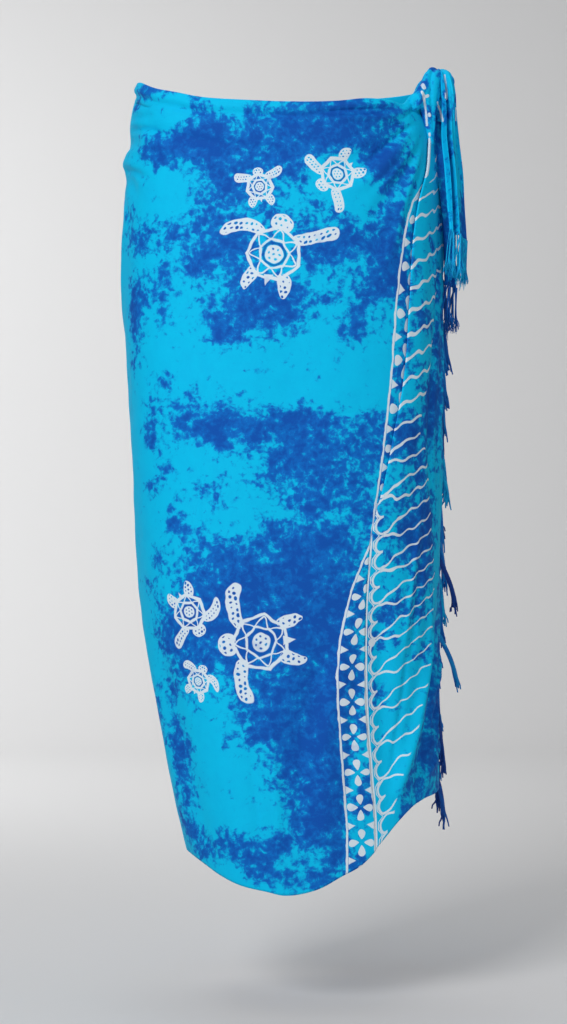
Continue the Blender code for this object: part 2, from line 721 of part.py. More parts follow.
def new_collection(name):
    collection = bpy.data.collections.new(name)
    bpy.context.scene.collection.children.link(collection)
    return collection


def build():
    for obj in list(bpy.data.objects):
        bpy.data.objects.remove(obj)
    sarong = new_collection("sarong")
    add_front_wrap(sarong)
    add_border_panel(sarong)
    add_back_left(sarong)
    add_back_right(sarong)
    add_under_lap(sarong)
    add_knot(sarong)
    for name in TAILS:
        add_tail(name, sarong)
        add_fringe_tail(name, sarong)
    add_fringe_edge(sarong)


build()
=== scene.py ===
"""Looks of the worn sarong: its dyed and printed cloth, its knot and fringe, the light and the camera.

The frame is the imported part's: metres, +Z up, the centre of the waist opening at the origin, the front
towards -Y and the knot towards +X. A place on the cloth is an angle in degrees round the body, 0 at the
front and growing towards +X, a height, and how far it stands out from the innermost layer.
"""

import math

import bpy
import numpy as np
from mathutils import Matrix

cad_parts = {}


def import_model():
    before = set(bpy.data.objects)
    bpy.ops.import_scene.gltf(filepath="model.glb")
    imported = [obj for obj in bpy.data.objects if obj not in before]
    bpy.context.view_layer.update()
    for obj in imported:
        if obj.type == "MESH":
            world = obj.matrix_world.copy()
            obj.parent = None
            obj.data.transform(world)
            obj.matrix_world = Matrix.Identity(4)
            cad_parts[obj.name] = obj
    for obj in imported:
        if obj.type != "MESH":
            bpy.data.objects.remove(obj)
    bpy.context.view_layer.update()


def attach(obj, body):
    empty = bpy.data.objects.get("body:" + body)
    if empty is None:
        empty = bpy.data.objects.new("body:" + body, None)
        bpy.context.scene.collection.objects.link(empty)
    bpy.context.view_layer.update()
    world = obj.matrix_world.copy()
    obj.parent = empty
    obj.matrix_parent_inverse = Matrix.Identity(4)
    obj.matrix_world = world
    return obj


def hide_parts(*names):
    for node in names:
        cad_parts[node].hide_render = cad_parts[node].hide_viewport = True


MILLIMETRE = 0.001

# Cloth: how far apart two layers lie, the roll of its top edge and how full the tube is on its diagonals
LAYER_STEP = 0.0028
CLOTH_THICKNESS = 0.0008
TURN_RADIUS = 0.0018
TURN_DEPTH = 0.024
FULLNESS = 0.10
CREASE_STRENGTH = 1.4
PATH_STEPS = 24

# Roughly the length round the cloth for a degree, in which folds and patches of dye are measured
ARC_PER_DEGREE = 0.0027

# Where the stretches of cloth begin and end
LEFT_SEAM = -92.0
BACK_END = -268.0
BACK_END_AT_WAIST = -282.0
BACK_END_CHANGES = (-0.080, -0.045)
OUTER_END_TOP = -0.024
OUTER_END_DROP = 0.014
UNDER_LAP_TOP = -0.108
UNDER_LAP_DEPTH = 0.0105
UNDER_LAP_START = -296.0
UNDER_LAP_FLARE = 46.0
UNDER_LAP_HEIGHT = 0.78
PLEAT_OPENS = -0.505
PLEAT_RADIUS = 0.0013
PLEAT_RETURN = 0.008
PLEAT_PRESS = 0.0014

# Columns and rows of each stretch of cloth
GRIDS = {
    "front_cloth": (142, 300),
    "back_cloth": (150, 250),
    "border_cloth": (66, 330),
    "under_cloth": (56, 150),
    "tail_outer_cloth": (70, 110),
    "tail_inner_cloth": (40, 90),
}

# Print
BAND_WIDTH = 0.033
PRINT_PITCH = 0.0385
FLOWER_HEIGHT = -0.6546
CUSP_LIFT = 0.0080
WAVES_START = 0.0100
LOBE_PLACE = 0.0150
LOBE_WIDTH = 0.0088
LOBE_HEIGHT = 0.0090
WAX_BLOT = (0.0085, -0.6290, 0.0046)
THICK_LINE = 0.0019
THIN_LINE = 0.0012
FINE_LINE = 0.0006
LINE_EDGE = 0.0003

# Turtles, measured in shell radii
SHELL_SIDES = 7
SHELL_SIZE = 1.06
CORE_SIZE = 0.60
TURTLE_EDGE = 0.02
DOT_PITCH = 0.21
CENTRE_DOTS = 6
CENTRE_RING = 0.205
CENTRE_DOT = 0.045
FAR_FROM_TURTLES = 9.0
TURTLE_FADES = (4.2, 3.4)
TURTLE_FIELDS = ("turtle_a", "turtle_b", "turtle_c")

# Dyes, as linear colours
DYES = {
    "light": (0.0020, 0.4900, 0.8000, 1.0),
    "washed": (0.0030, 0.4000, 0.7400, 1.0),
    "middle": (0.0045, 0.1500, 0.5400, 1.0),
    "dark": (0.0050, 0.0820, 0.4000, 1.0),
    "dark_yarn": (0.0080, 0.0500, 0.2700, 1.0),
    "white": (0.6600, 0.7600, 0.8300, 1.0),
}

# Fringe
TUFT_YARNS = 9
TUFT_STEPS = 16
TUFT_LOOSENS = 0.66
YARN_SIDES = 4
EDGE_TUFTS = 36
EDGE_TUFT_SIZE = 0.0031
EDGE_TUFT_LENGTH = (0.040, 0.068)
TAIL_TUFT_SIZE = 0.0011

# Camera, level and straight on, and the height of its view at the distance of the waist's middle
CAMERA_PLACE = (0.0005, -2.6, -0.485)
FRAME_HEIGHT = 1.1776
SENSOR_HEIGHT = 36.0

# Studio: the floor runs up into the wall along a quarter circle
FLOOR_HEIGHT = -1.035
FLOOR_START = -4.0
WALL_PLACE = 3.6
WALL_TOP = 3.0
SWEEP_RADIUS = 1.0
BACKDROP_HALF_WIDTH = 4.0
BACKDROP_GREY = (0.74, 0.74, 0.74, 1.0)
ROOM_COLOUR = (1.0, 1.0, 1.02, 1.0)
ROOM_STRENGTH = 0.26

# Name, place, what it points at, size and power of each lamp
LAMPS = (
    ("key", (-1.5, -2.7, 1.4), (0.0, 0.0, -0.4), (1.3, 1.3), 73.0),
    ("fill", (1.2, -3.2, -0.1), (0.0, 0.0, -0.5), (1.4, 2.0), 19.0),
    ("wall_light", (-1.8, 1.7, 0.6), (-1.0, 3.6, -0.8), (1.8, 1.0), 30.0),
    ("floor_light", (0.0, 0.9, 1.6), (0.0, 0.9, -1.0), (2.6, 2.0), 15.0),
)

# Height, then how far the cloth reaches to the left, to the right, forward and back
REACH = (
    (-0.920, 0.094, 0.177, 0.134, 0.100),
    (-0.900, 0.101, 0.177, 0.134, 0.100),
    (-0.800, 0.128, 0.176, 0.134, 0.096),
    (-0.700, 0.146, 0.175, 0.132, 0.090),
    (-0.600, 0.162, 0.176, 0.130, 0.088),
    (-0.450, 0.173, 0.178, 0.127, 0.095),
    (-0.300, 0.181, 0.180, 0.124, 0.116),
    (-0.190, 0.183, 0.180, 0.120, 0.126),
    (-0.050, 0.177, 0.171, 0.112, 0.108),
    (0.000, 0.169, 0.161, 0.106, 0.096),
    (0.030, 0.163, 0.158, 0.104, 0.094),
)

# Angle, then the height of the waist edge
WAIST_EDGE = (
    (-282.0, -0.006),
    (-262.0, 0.000),
    (-225.0, 0.004),
    (-180.0, 0.004),
    (-135.0, 0.006),
    (-98.0, 0.009),
    (-84.0, 0.006),
    (-74.0, 0.003),
    (-51.0, -0.012),
    (-39.0, -0.019),
    (-30.0, -0.025),
    (-15.0, -0.030),
    (20.0, -0.031),
    (30.0, -0.027),
    (42.0, -0.027),
    (50.0, -0.029),
    (57.0, -0.018),
    (62.0, -0.018),
    (67.0, -0.021),
    (72.0, -0.027),
    (80.0, -0.036),
)

# Angle, then the height of the hem
HEM_EDGE = (
    (-345.0, -0.765),
    (-300.0, -0.772),
    (-270.0, -0.792),
    (-250.0, -0.812),
    (-220.0, -0.842),
    (-180.0, -0.858),
    (-140.0, -0.866),
    (-92.0, -0.868),
    (-56.0, -0.869),
    (-38.0, -0.882),
    (-25.0, -0.891),
    (-10.0, -0.897),
    (4.0, -0.901),
    (12.0, -0.894),
    (19.0, -0.882),
    (26.0, -0.871),
    (35.0, -0.847),
    (44.0, -0.823),
    (58.0, -0.806),
    (72.0, -0.803),
    (98.0, -0.798),
)

# Height, then the angles of the pleat's fold and of the outer end, and how many degrees the front
# runs on under the fold
BORDER_LINES = (
    (-0.905, 32.0, 90.0, 0.0),
    (-0.820, 32.0, 91.0, 0.0),
    (-0.768, 30.7, 91.0, 0.0),
    (-0.718, 29.3, 91.0, 0.0),
    (-0.627, 28.4, 91.0, 0.0),
    (-0.560, 29.0, 92.0, 0.0),
    (-0.494, 31.7, 93.0, 0.3),
    (-0.452, 35.7, 93.0, 3.0),
    (-0.398, 39.8, 93.0, 4.0),
    (-0.349, 43.7, 94.0, 4.0),
    (-0.244, 47.3, 94.0, 4.0),
    (-0.193, 49.0, 94.0, 4.0),
    (-0.157, 51.7, 94.0, 4.0),
    (-0.133, 54.6, 94.0, 4.0),
    (-0.097, 61.8, 94.0, 4.0),
    (-0.060, 67.0, 94.0, 4.0),
    (-0.030, 71.0, 94.0, 4.0),
    (0.020, 72.0, 94.0, 4.0),
)

# Height, then the angle of the ridge where the printed waves end
WAVES_END = (
    (-0.905, 38.0),
    (-0.803, 42.2),
    (-0.781, 43.9),
    (-0.760, 46.8),
    (-0.731, 52.1),
    (-0.693, 56.9),
    (-0.668, 61.4),
    (-0.622, 65.8),
    (-0.596, 69.5),
    (-0.553, 72.0),
    (-0.510, 67.5),
    (-0.466, 65.6),
    (-0.422, 62.5),
    (-0.400, 56.1),
    (-0.357, 59.1),
    (-0.301, 67.9),
    (-0.248, 72.5),
    (-0.185, 86.0),
    (0.020, 86.0),
)

# Height, then the width of the flower band that shows beside the fold, and how much of the print
# the fold hides
BAND_SHOWN = (
    (-0.905, 0.033, 0.000),
    (-0.662, 0.033, 0.000),
    (-0.627, 0.030, 0.000),
    (-0.592, 0.0225, 0.000),
    (-0.571, 0.018, 0.000),
    (-0.538, 0.007, 0.000),
    (-0.521, 0.000, 0.001),
    (-0.494, 0.0015, 0.006),
    (-0.451, 0.007, 0.016),
    (-0.397, 0.011, 0.023),
    (-0.349, 0.016, 0.024),
    (-0.304, 0.0175, 0.024),
    (-0.248, 0.017, 0.024),
    (-0.193, 0.013, 0.024),
    (-0.157, 0.0105, 0.024),
    (-0.137, 0.008, 0.021),
    (-0.121, 0.000, 0.013),
    (-0.108, -0.010, 0.000),
    (0.020, -0.010, 0.000),
)

# Height, then the height of the same place on the print: the cloth hangs less stretched higher up
PRINT_HEIGHTS = (
    (-0.905, -0.905),
    (-0.500, -0.500),
    (-0.380, -0.392),
    (0.020, -0.100),
)

# Height, then how steeply the waves rise to the right
WAVE_SLOPES = (
    (-0.905, 0.75),
    (-0.780, 0.62),
    (-0.650, 0.52),
    (-0.500, 0.42),
    (-0.400, 0.34),
    (-0.250, 0.28),
    (0.020, 0.26),
)

# How far a fold stands out and its half width, in millimetres, then its path as angles and heights
FOLDS = (
    (-4.0, 9, ((49, -0.047), (36, -0.074), (23, -0.097), (10, -0.110))),
    (3.0, 8, ((53, -0.060), (42, -0.084), (31, -0.112), (19, -0.134))),
    (-3.5, 8, ((56, -0.070), (45, -0.105), (36, -0.140), (27, -0.170))),
    (2.6, 9, ((58, -0.090), (48, -0.135), (40, -0.180), (33, -0.225))),
    (-2.2, 6, ((54, -0.044), (38, -0.057), (24, -0.067))),
    (-3.0, 7, ((-66, -0.040), (-48, -0.057), (-29, -0.073), (-8, -0.086), (14, -0.098))),
    (2.4, 9, ((-70, -0.055), (-48, -0.074), (-28, -0.092), (-6, -0.106))),
    (-3.4, 5, ((-90, -0.010), (-68, -0.022), (-47, -0.030))),
    (-2.6, 4, ((-84, -0.034), (-62, -0.038), (-50, -0.040))),
    (-4.6, 11, ((-100, -0.060), (-78, -0.062), (-56, -0.068))),
    (3.6, 10, ((-100, -0.082), (-80, -0.086), (-56, -0.094))),
    (-3.2, 9, ((-98, -0.104), (-74, -0.106), (-58, -0.130))),
    (3.0, 15, ((-100, -0.300), (-84, -0.210), (-76, -0.125))),
    (-2.6, 16, ((-96, -0.520), (-84, -0.400), (-78, -0.280))),
    (-6.5, 16, ((17, -0.600), (12, -0.663), (8, -0.712), (6, -0.760), (6, -0.900))),
    (3.6, 16, ((22, -0.560), (18, -0.640), (15, -0.720), (13, -0.800), (13, -0.890))),
    (4.0, 26, ((-36, -0.560), (-28, -0.680), (-22, -0.800), (-20, -0.900))),
    (-3.6, 20, ((-62, -0.600), (-52, -0.700), (-46, -0.790), (-42, -0.890))),
    (3.2, 18, ((-80, -0.560), (-70, -0.680), (-62, -0.780), (-58, -0.880))),
    (-2.6, 26, ((10, -0.200), (4, -0.330), (2, -0.450), (4, -0.580))),
    (-5.0, 13, ((34, -0.560), (35, -0.640), (36, -0.720), (37, -0.850))),
    (7.5, 8, ((68, -0.560), (66, -0.622), (57, -0.693), (52, -0.731), (44, -0.781), (41, -0.815))),
    (-7.0, 11, ((80, -0.580), (76, -0.650), (66, -0.720), (58, -0.765), (52, -0.810))),
    (-3.6, 8, ((78, -0.120), (74, -0.220), (66, -0.320), (64, -0.420), (72, -0.540))),
    (2.8, 7, ((86, -0.130), (84, -0.260), (76, -0.380), (78, -0.500))),
    (-4.5, 9, ((110, -0.040), (124, -0.080), (140, -0.130), (158, -0.170))),
    (3.8, 10, ((108, -0.070), (120, -0.130), (134, -0.200), (150, -0.260))),
    (-3.8, 9, ((112, -0.020), (132, -0.045), (156, -0.078), (180, -0.096))),
    (3.0, 9, ((200, -0.060), (222, -0.076), (246, -0.082), (262, -0.078))),
    (-3.6, 9, ((204, -0.090), (224, -0.100), (244, -0.104), (262, -0.100))),
    (-6.0, 20, ((104, -0.140), (108, -0.330), (112, -0.560), (116, -0.850))),
    (5.0, 22, ((126, -0.240), (130, -0.430), (134, -0.640), (136, -0.880))),
    (-6.5, 22, ((146, -0.230), (150, -0.450), (152, -0.660), (154, -0.890))),
    (5.5, 24, ((176, -0.330), (174, -0.520), (173, -0.700), (172, -0.890))),
    (-6.0, 22, ((204, -0.280), (200, -0.480), (196, -0.680), (194, -0.890))),
    (5.0, 22, ((228, -0.230), (224, -0.440), (220, -0.660), (218, -0.890))),
    (-4.6, 20, ((252, -0.300), (248, -0.500), (244, -0.700), (242, -0.890))),
)

# Finer creases, in the same columns
CREASES = (
    (-0.9, 2.2, ((-26, -0.252), (-27, -0.360), (-30, -0.470), (-30, -0.571))),
    (0.6, 2.4, ((-23, -0.400), (-25, -0.470), (-27, -0.560))),
    (-0.8, 2.0, ((-28, -0.380), (-10, -0.379), (12, -0.378), (34, -0.370))),
    (-0.9, 2.0, ((-12, -0.664), (-1, -0.664), (17, -0.663))),
    (-1.2, 2.2, ((5.5, -0.730), (5.5, -0.790), (5.5, -0.848))),
    (-0.8, 2.6, ((-49, -0.838), (-42, -0.848), (-35, -0.862))),
    (-4.2, 2.6, ((50, -0.032), (38, -0.036), (26, -0.040), (10, -0.043))),
    (2.4, 3.0, ((52, -0.040), (38, -0.044), (26, -0.048), (12, -0.050))),
    (-1.4, 3.0, ((16, -0.052), (8, -0.053), (-2, -0.052))),
    (-4.0, 3.2, ((57, -0.048), (46, -0.062), (36, -0.082), (26, -0.104))),
    (2.2, 4.0, ((58, -0.060), (50, -0.080), (42, -0.104), (32, -0.130))),
    (-2.2, 4.0, ((61, -0.080), (54, -0.110), (47, -0.150), (42, -0.190))),
    (1.8, 4.5, ((60, -0.070), (52, -0.100), (45, -0.134), (40, -0.160))),
    (-4.0, 3.2, ((-88, -0.046), (-70, -0.050), (-54, -0.056), (-40, -0.070))),
    (1.6, 4.0, ((-90, -0.072), (-72, -0.076), (-58, -0.080), (-44, -0.094))),
    (-3.4, 3.6, ((-90, -0.092), (-72, -0.096), (-52, -0.110))),
    (3.6, 8.0, ((83, -0.026), (84, -0.080), (84, -0.130), (85, -0.200))),
    (-1.4, 5.0, ((-88, -0.120), (-76, -0.136), (-66, -0.166))),
    (1.2, 6.0, ((22, -0.600), (18, -0.660), (15, -0.700), (12, -0.760))),
    (-1.3, 5.0, ((26, -0.620), (24, -0.700), (22, -0.780), (20, -0.860))),
    (-1.2, 6.0, ((-14, -0.740), (-12, -0.800), (-11, -0.880))),
    (1.0, 6.0, ((-6, -0.700), (-3, -0.780), (-2, -0.880))),
    (-2.4, 4.0, ((60, -0.500), (56, -0.560), (52, -0.620), (50, -0.660))),
    (1.6, 4.0, ((56, -0.480), (52, -0.540), (48, -0.600), (46, -0.650))),
    (-1.6, 4.0, ((50, -0.600), (46, -0.680), (42, -0.740), (40, -0.790))),
    (-2.2, 4.5, ((74, -0.640), (70, -0.690), (66, -0.730), (62, -0.760))),
    (2.0, 4.5, ((84, -0.660), (80, -0.700), (74, -0.740), (68, -0.780))),
    (-1.8, 5.0, ((88, -0.700), (84, -0.740), (80, -0.790))),
    (-1.6, 4.0, ((70, -0.560), (68, -0.600), (62, -0.650), (56, -0.690))),
    (2.6, 4.0, ((90, -0.640), (84, -0.668), (74, -0.690), (64, -0.716))),
    (-2.8, 3.6, ((91, -0.655), (86, -0.684), (78, -0.706), (68, -0.736))),
    (2.4, 4.5, ((90, -0.730), (82, -0.748), (72, -0.764), (60, -0.784))),
    (1.6, 5.0, ((89, -0.560), (88, -0.620), (86, -0.680))),
    (-2.0, 4.0, ((88, -0.100), (87, -0.180), (84, -0.260), (82, -0.330))),
    (1.4, 5.0, ((84, -0.380), (84, -0.440), (82, -0.510))),
    (-1.6, 4.0, ((108, -0.030), (116, -0.048), (128, -0.070), (140, -0.100))),
    (1.4, 4.5, ((106, -0.050), (114, -0.080), (124, -0.120), (132, -0.160))),
    (-1.4, 4.5, ((116, -0.110), (124, -0.160), (130, -0.210))),
    (-1.6, 4.0, ((136, -0.040), (152, -0.056), (168, -0.066), (184, -0.072))),
    (-1.4, 4.0, ((232, -0.050), (246, -0.056), (262, -0.056))),
    (1.3, 5.0, ((226, -0.120), (244, -0.126), (262, -0.124))),
    (-1.4, 6.0, ((118, -0.500), (122, -0.640), (124, -0.800))),
    (1.2, 6.0, ((160, -0.420), (162, -0.600), (164, -0.860))),
    (-1.4, 6.0, ((186, -0.460), (185, -0.640), (184, -0.870))),
    (1.4, 6.0, ((212, -0.420), (210, -0.620), (208, -0.860))),
    (-1.2, 6.0, ((238, -0.440), (234, -0.640), (230, -0.860))),
    (-0.8, 2.0, ((150, -0.380), (180, -0.378), (214, -0.380))),
    (-0.8, 2.2, ((196, -0.140), (196, -0.260), (194, -0.370))),
)

# Angle, height, half width and half height in millimetres of a patch of dark dye, then its strength
DYE_PATCHES = (
    (54, -0.273, 11, 11, 0.9),
    (45, -0.394, 23, 16, 1.0),
    (42, -0.423, 20, 11, 1.0),
    (51, -0.516, 20, 16, 0.9),
    (44, -0.474, 16, 14, 0.8),
    (49, -0.329, 14, 10, 0.8),
    (46, -0.300, 10, 8, 0.8),
    (39, -0.538, 11, 9, 0.8),
    (36, -0.602, 10, 6, 1.0),
    (33, -0.631, 8, 6, 0.8),
    (35, -0.681, 10, 6, 0.9),
    (33, -0.698, 8, 6, 0.8),
    (43, -0.585, 14, 11, 0.7),
    (31, -0.494, 11, 14, 0.8),
    (46, -0.405, 18, 14, 0.9),
    (44, -0.233, 18, 11, 0.9),
    (46, -0.181, 11, 11, 0.8),
    (55, -0.268, 14, 9, 0.8),
    (50, -0.215, 11, 9, 0.8),
    (-15, -0.357, 16, 9, 0.5),
    (38, -0.095, 23, 27, 1.1),
    (39, -0.195, 14, 41, 1.1),
    (-58, -0.258, 13, 32, 1.0),
    (-61, -0.010, 16, 7, 0.9),
    (24, -0.050, 45, 11, 0.9),
    (10, -0.076, 29, 16, 0.8),
    (-10, -0.159, 45, 23, 0.7),
    (18, -0.195, 20, 18, 1.0),
    (27, -0.274, 11, 23, 0.8),
    (-17, -0.086, 27, 16, 0.7),
    (5, -0.439, 56, 27, 0.6),
    (-4, -0.537, 56, 27, 0.6),
    (6, -0.625, 45, 45, 0.8),
    (9, -0.756, 29, 68, 0.7),
    (-17, -0.854, 45, 16, 0.7),
    (-29, -0.395, 25, 14, 0.7),
    (-38, -0.626, 16, 45, 0.7),
    (-54, -0.717, 11, 45, 0.8),
    (-52, -0.013, 39, 7, 1.0),
    (-74, -0.025, 13, 7, 1.0),
    (-30, -0.036, 8, 16, 0.8),
    (-25, -0.053, 12, 11, 0.9),
    (-37, -0.079, 42, 16, 1.2),
    (-23, -0.088, 27, 17, 1.1),
    (-47, -0.084, 25, 13, 0.9),
    (-15, -0.118, 17, 16, 0.9),
    (-19, -0.126, 19, 13, 0.8),
    (-26, -0.137, 10, 8, 0.6),
    (-1, -0.057, 27, 12, 0.8),
    (12, -0.060, 42, 18, 1.0),
    (25, -0.036, 47, 7, 1.1),
    (2, -0.105, 16, 18, 1.1),
    (23, -0.071, 26, 10, 0.7),
    (39, -0.099, 18, 22, 1.0),
    (6, -0.082, 21, 9, 0.7),
    (-9, -0.037, 8, 7, 0.6),
    (-22, -0.192, 25, 29, 1.1),
    (-31, -0.214, 10, 12, 0.9),
    (-14, -0.204, 15, 16, 0.9),
    (8, -0.189, 9, 18, 1.0),
    (-3, -0.244, 25, 17, 1.0),
    (19, -0.193, 18, 18, 1.1),
    (-10, -0.264, 34, 22, 1.1),
    (-19, -0.286, 14, 15, 0.9),
    (2, -0.263, 14, 16, 0.9),
    (16, -0.251, 8, 4, 0.7),
    (32, -0.230, 14, 18, 0.9),
    (25, -0.267, 12, 16, 0.8),
    (35, -0.193, 10, 25, 0.9),
    (22, -0.288, 9, 10, 0.7),
    (42, -0.215, 8, 22, 0.7),
    (-59, -0.179, 29, 18, 0.9),
    (-69, -0.148, 13, 10, 0.8),
    (-44, -0.224, 11, 19, 0.9),
    (-38, -0.170, 10, 13, 0.7),
    (-43, -0.266, 10, 17, 0.8),
    (-65, -0.265, 15, 34, 0.9),
    (-51, -0.249, 9, 9, 0.5),
    (21, -0.158, 10, 6, 0.4),
    (12, -0.148, 6, 6, 0.4),
    (42, -0.156, 8, 13, 0.6),
    (-43, -0.337, 8, 9, 0.8),
    (-50, -0.363, 14, 13, 0.9),
    (-54, -0.399, 14, 13, 0.9),
    (-34, -0.367, 13, 10, 0.9),
    (-37, -0.390, 14, 12, 0.9),
    (-30, -0.346, 3, 4, 0.7),
    (-21, -0.388, 13, 17, 1.0),
    (-22, -0.409, 9, 10, 0.8),
    (-8, -0.391, 25, 15, 1.1),
    (5, -0.386, 21, 11, 1.0),
    (13, -0.384, 16, 9, 1.0),
    (22, -0.398, 16, 12, 0.8),
    (30, -0.386, 11, 12, 0.8),
    (5, -0.431, 21, 20, 1.1),
    (9, -0.411, 23, 13, 1.0),
    (28, -0.429, 14, 19, 1.0),
    (-45, -0.433, 12, 12, 0.8),
    (-54, -0.459, 16, 8, 0.8),
    (-26, -0.465, 11, 8, 0.8),
    (-24, -0.481, 8, 4, 0.5),
    (-41, -0.481, 9, 12, 0.7),
    (9, -0.470, 17, 15, 1.0),
    (20, -0.462, 14, 15, 0.9),
    (25, -0.476, 12, 10, 0.8),
    (-5, -0.507, 10, 10, 0.9),
    (-42, -0.500, 13, 9, 0.9),
    (-33, -0.517, 13, 15, 1.0),
    (13, -0.512, 28, 17, 1.1),
    (-21, -0.538, 21, 12, 0.9),
    (-6, -0.559, 48, 21, 1.2),
    (9, -0.544, 25, 17, 1.1),
    (21, -0.512, 9, 10, 0.7),
    (-51, -0.538, 13, 12, 0.7),
    (-63, -0.566, 15, 9, 0.7),
    (-68, -0.319, 9, 9, 0.6),
    (-8, -0.334, 5, 4, 0.6),
    (2, -0.325, 4, 7, 0.5),
    (17, -0.318, 5, 9, 0.6),
    (-19, -0.296, 8, 9, 0.8),
    (-26, -0.601, 44, 27, 1.2),
    (-6, -0.612, 48, 36, 1.3),
    (11, -0.612, 25, 49, 1.2),
    (-50, -0.627, 26, 27, 0.9),
    (21, -0.581, 10, 18, 0.7),
    (5, -0.706, 40, 29, 1.2),
    (-7, -0.719, 24, 18, 0.9),
    (13, -0.732, 21, 29, 1.2),
    (16, -0.690, 15, 22, 1.1),
    (9, -0.778, 19, 18, 0.9),
    (16, -0.789, 13, 27, 1.0),
    (3, -0.756, 15, 9, 0.9),
    (13, -0.813, 17, 16, 0.9),
    (10, -0.832, 15, 16, 0.9),
    (17, -0.854, 13, 22, 1.1),
    (11, -0.888, 16, 10, 1.0),
    (-67, -0.715, 13, 22, 0.9),
    (-49, -0.746, 20, 16, 1.0),
    (-57, -0.773, 11, 10, 0.8),
    (-51, -0.794, 18, 15, 1.0),
    (-64, -0.824, 15, 15, 0.9),
    (-54, -0.839, 22, 10, 1.0),
    (-46, -0.861, 33, 9, 1.0),
    (-27, -0.842, 13, 9, 0.8),
    (-2, -0.843, 11, 8, 0.8),
    (-13, -0.860, 21, 10, 1.0),
    (-8, -0.882, 20, 10, 1.0),
    (-23, -0.737, 6, 7, 0.4),
    (-11, -0.762, 5, 4, 0.5),
    (2, -0.798, 8, 6, 0.5),
    (-13, -0.680, 32, 9, 0.6),
    (18, -0.647, 8, 34, 0.9),
    (-20, -0.642, 22, 16, 0.8),
    (-47, -0.682, 19, 9, 0.6),
)

# The same for the sides and back, where the photo doesn't show the cloth; one of them is painted shade,
# marked below
HIDDEN_PATCHES = (
    (-110, -0.150, 52, 36, 1.0),
    (-118, -0.300, 30, 46, 0.9),
    (-150, -0.330, 60, 34, 0.9),
    (-168, -0.060, 80, 24, 0.9),
    (-160, -0.640, 66, 60, 0.9),
    (-122, -0.500, 42, 50, 0.8),
    (-104, -0.690, 34, 60, 1.0),
    (-132, -0.800, 60, 36, 0.8),
    (-190, -0.450, 54, 50, 0.9),
    (-186, -0.820, 60, 34, 0.8),
    (-214, -0.200, 46, 44, 0.9),
    (-226, -0.360, 26, 50, 0.8),
    (-236, -0.560, 40, 52, 1.0),
    (-222, -0.720, 40, 44, 0.9),
    (-242, -0.110, 34, 34, 0.9),
    (-112, -0.090, 30, 24, 1.0),
    (-124, -0.230, 26, 40, 1.1),
    (-108, -0.400, 16, 22, 0.9),
    (-134, -0.440, 30, 20, 1.1),
    (-160, -0.420, 40, 18, 1.1),
    (-116, -0.600, 22, 46, 1.1),
    (-146, -0.620, 46, 30, 1.2),
    (-170, -0.580, 30, 36, 1.0),
    (-128, -0.780, 24, 34, 1.0),
    (-158, -0.820, 34, 22, 1.1),
    (-150, -0.100, 40, 20, 1.1),
    (-176, -0.160, 34, 26, 1.0),
    (-166, -0.280, 26, 22, 1.0),
    (-196, -0.300, 30, 34, 1.1),
    (-206, -0.120, 40, 18, 1.0),
    (-232, -0.180, 30, 34, 1.1),
    (-222, -0.400, 34, 16, 1.1),
    (-246, -0.380, 22, 26, 1.0),
    (-190, -0.720, 24, 40, 1.1),
    (-214, -0.560, 34, 36, 1.2),
    (-240, -0.620, 26, 30, 1.1),
    (-222, -0.760, 30, 28, 1.0),
    (-252, -0.500, 14, 30, 0.9),
    (-262, -0.280, 14, 40, 0.9),
    (-262, -0.700, 18, 34, 1.0),
    (-284, -0.300, 24, 60, 1.0),
    (-300, -0.520, 26, 50, 1.1),
    (-282, -0.700, 22, 40, 1.0),
    (64, -0.190, 10, 12, 0.8),
    (60, -0.270, 9, 12, 0.8),
    (66, -0.360, 12, 12, 0.8),
    (56, -0.440, 16, 14, 0.9),
    (50, -0.500, 18, 12, 1.0),
    (58, -0.560, 14, 20, 0.9),
    (40, -0.620, 10, 14, 0.6),
    (58, -0.640, 12, 10, 0.8),
    (52, -0.600, 14, 8, 0.7),
    (76, -0.620, 12, 22, 1.0),
    (74, -0.700, 24, 26, 1.2),
    (64, -0.760, 22, 24, 1.2),
    (84, -0.760, 14, 30, 1.1),
    (82, -0.560, 10, 24, 0.8),
    (88, -0.420, 10, 40, 1.1),
    (88, -0.260, 8, 60, 0.8),
    (84, -0.100, 10, 30, 0.9),
    # Painted shade: this dark patch stands in for the shadow beside the ridge where the printed waves end
    (66, -0.375, 26, 34, 1.2),
    (70, -0.230, 10, 16, 1.0),
    (78, -0.160, 10, 14, 1.0),
    (62, -0.480, 14, 12, 1.0),
    (44, -0.700, 8, 8, 0.5),
    (46, -0.790, 8, 10, 0.8),
    (72, -0.090, 8, 20, 0.8),
)

# Share of the light dye that one patch covers at its middle, when it is this strong or stronger
PATCH_COVER = 0.78
FULL_STRENGTH = 1.2

# How a fold grows from its start and fades to its end, as shares of its length, and what is left of it there
FOLD_GROWS = 0.3
FOLD_FADES = 0.72
FOLD_END = 0.15

# Angle, height, shell radius in metres, heading in degrees clockwise from up, then how far the left and
# the right front flipper are raised
TURTLES = (
    (-7.3, -0.1280, 0.0135, -8.0, 0.15, 0.30),
    (18.0, -0.1130, 0.0175, -126.0, 0.35, 0.10),
    (-2.8, -0.2020, 0.0280, 15.0, -0.15, 0.42),
    (-36.0, -0.5950, 0.0185, 150.0, -0.30, 0.30),
    (-8.0, -0.6270, 0.0290, -95.0, 0.02, 0.05),
    (-34.1, -0.6710, 0.0125, 28.0, -0.10, -0.45),
    (-168.0, -0.2050, 0.0290, 12.0, 0.10, 0.25),
    (-176.0, -0.1260, 0.0140, -20.0, 0.10, 0.20),
    (-152.0, -0.1350, 0.0205, 120.0, 0.10, -0.20),
    (-184.0, -0.6300, 0.0290, 84.0, 0.10, 0.05),
    (-160.0, -0.6000, 0.0200, -140.0, -0.20, 0.20),
    (-163.0, -0.6750, 0.0135, -30.0, 0.10, -0.30),
)

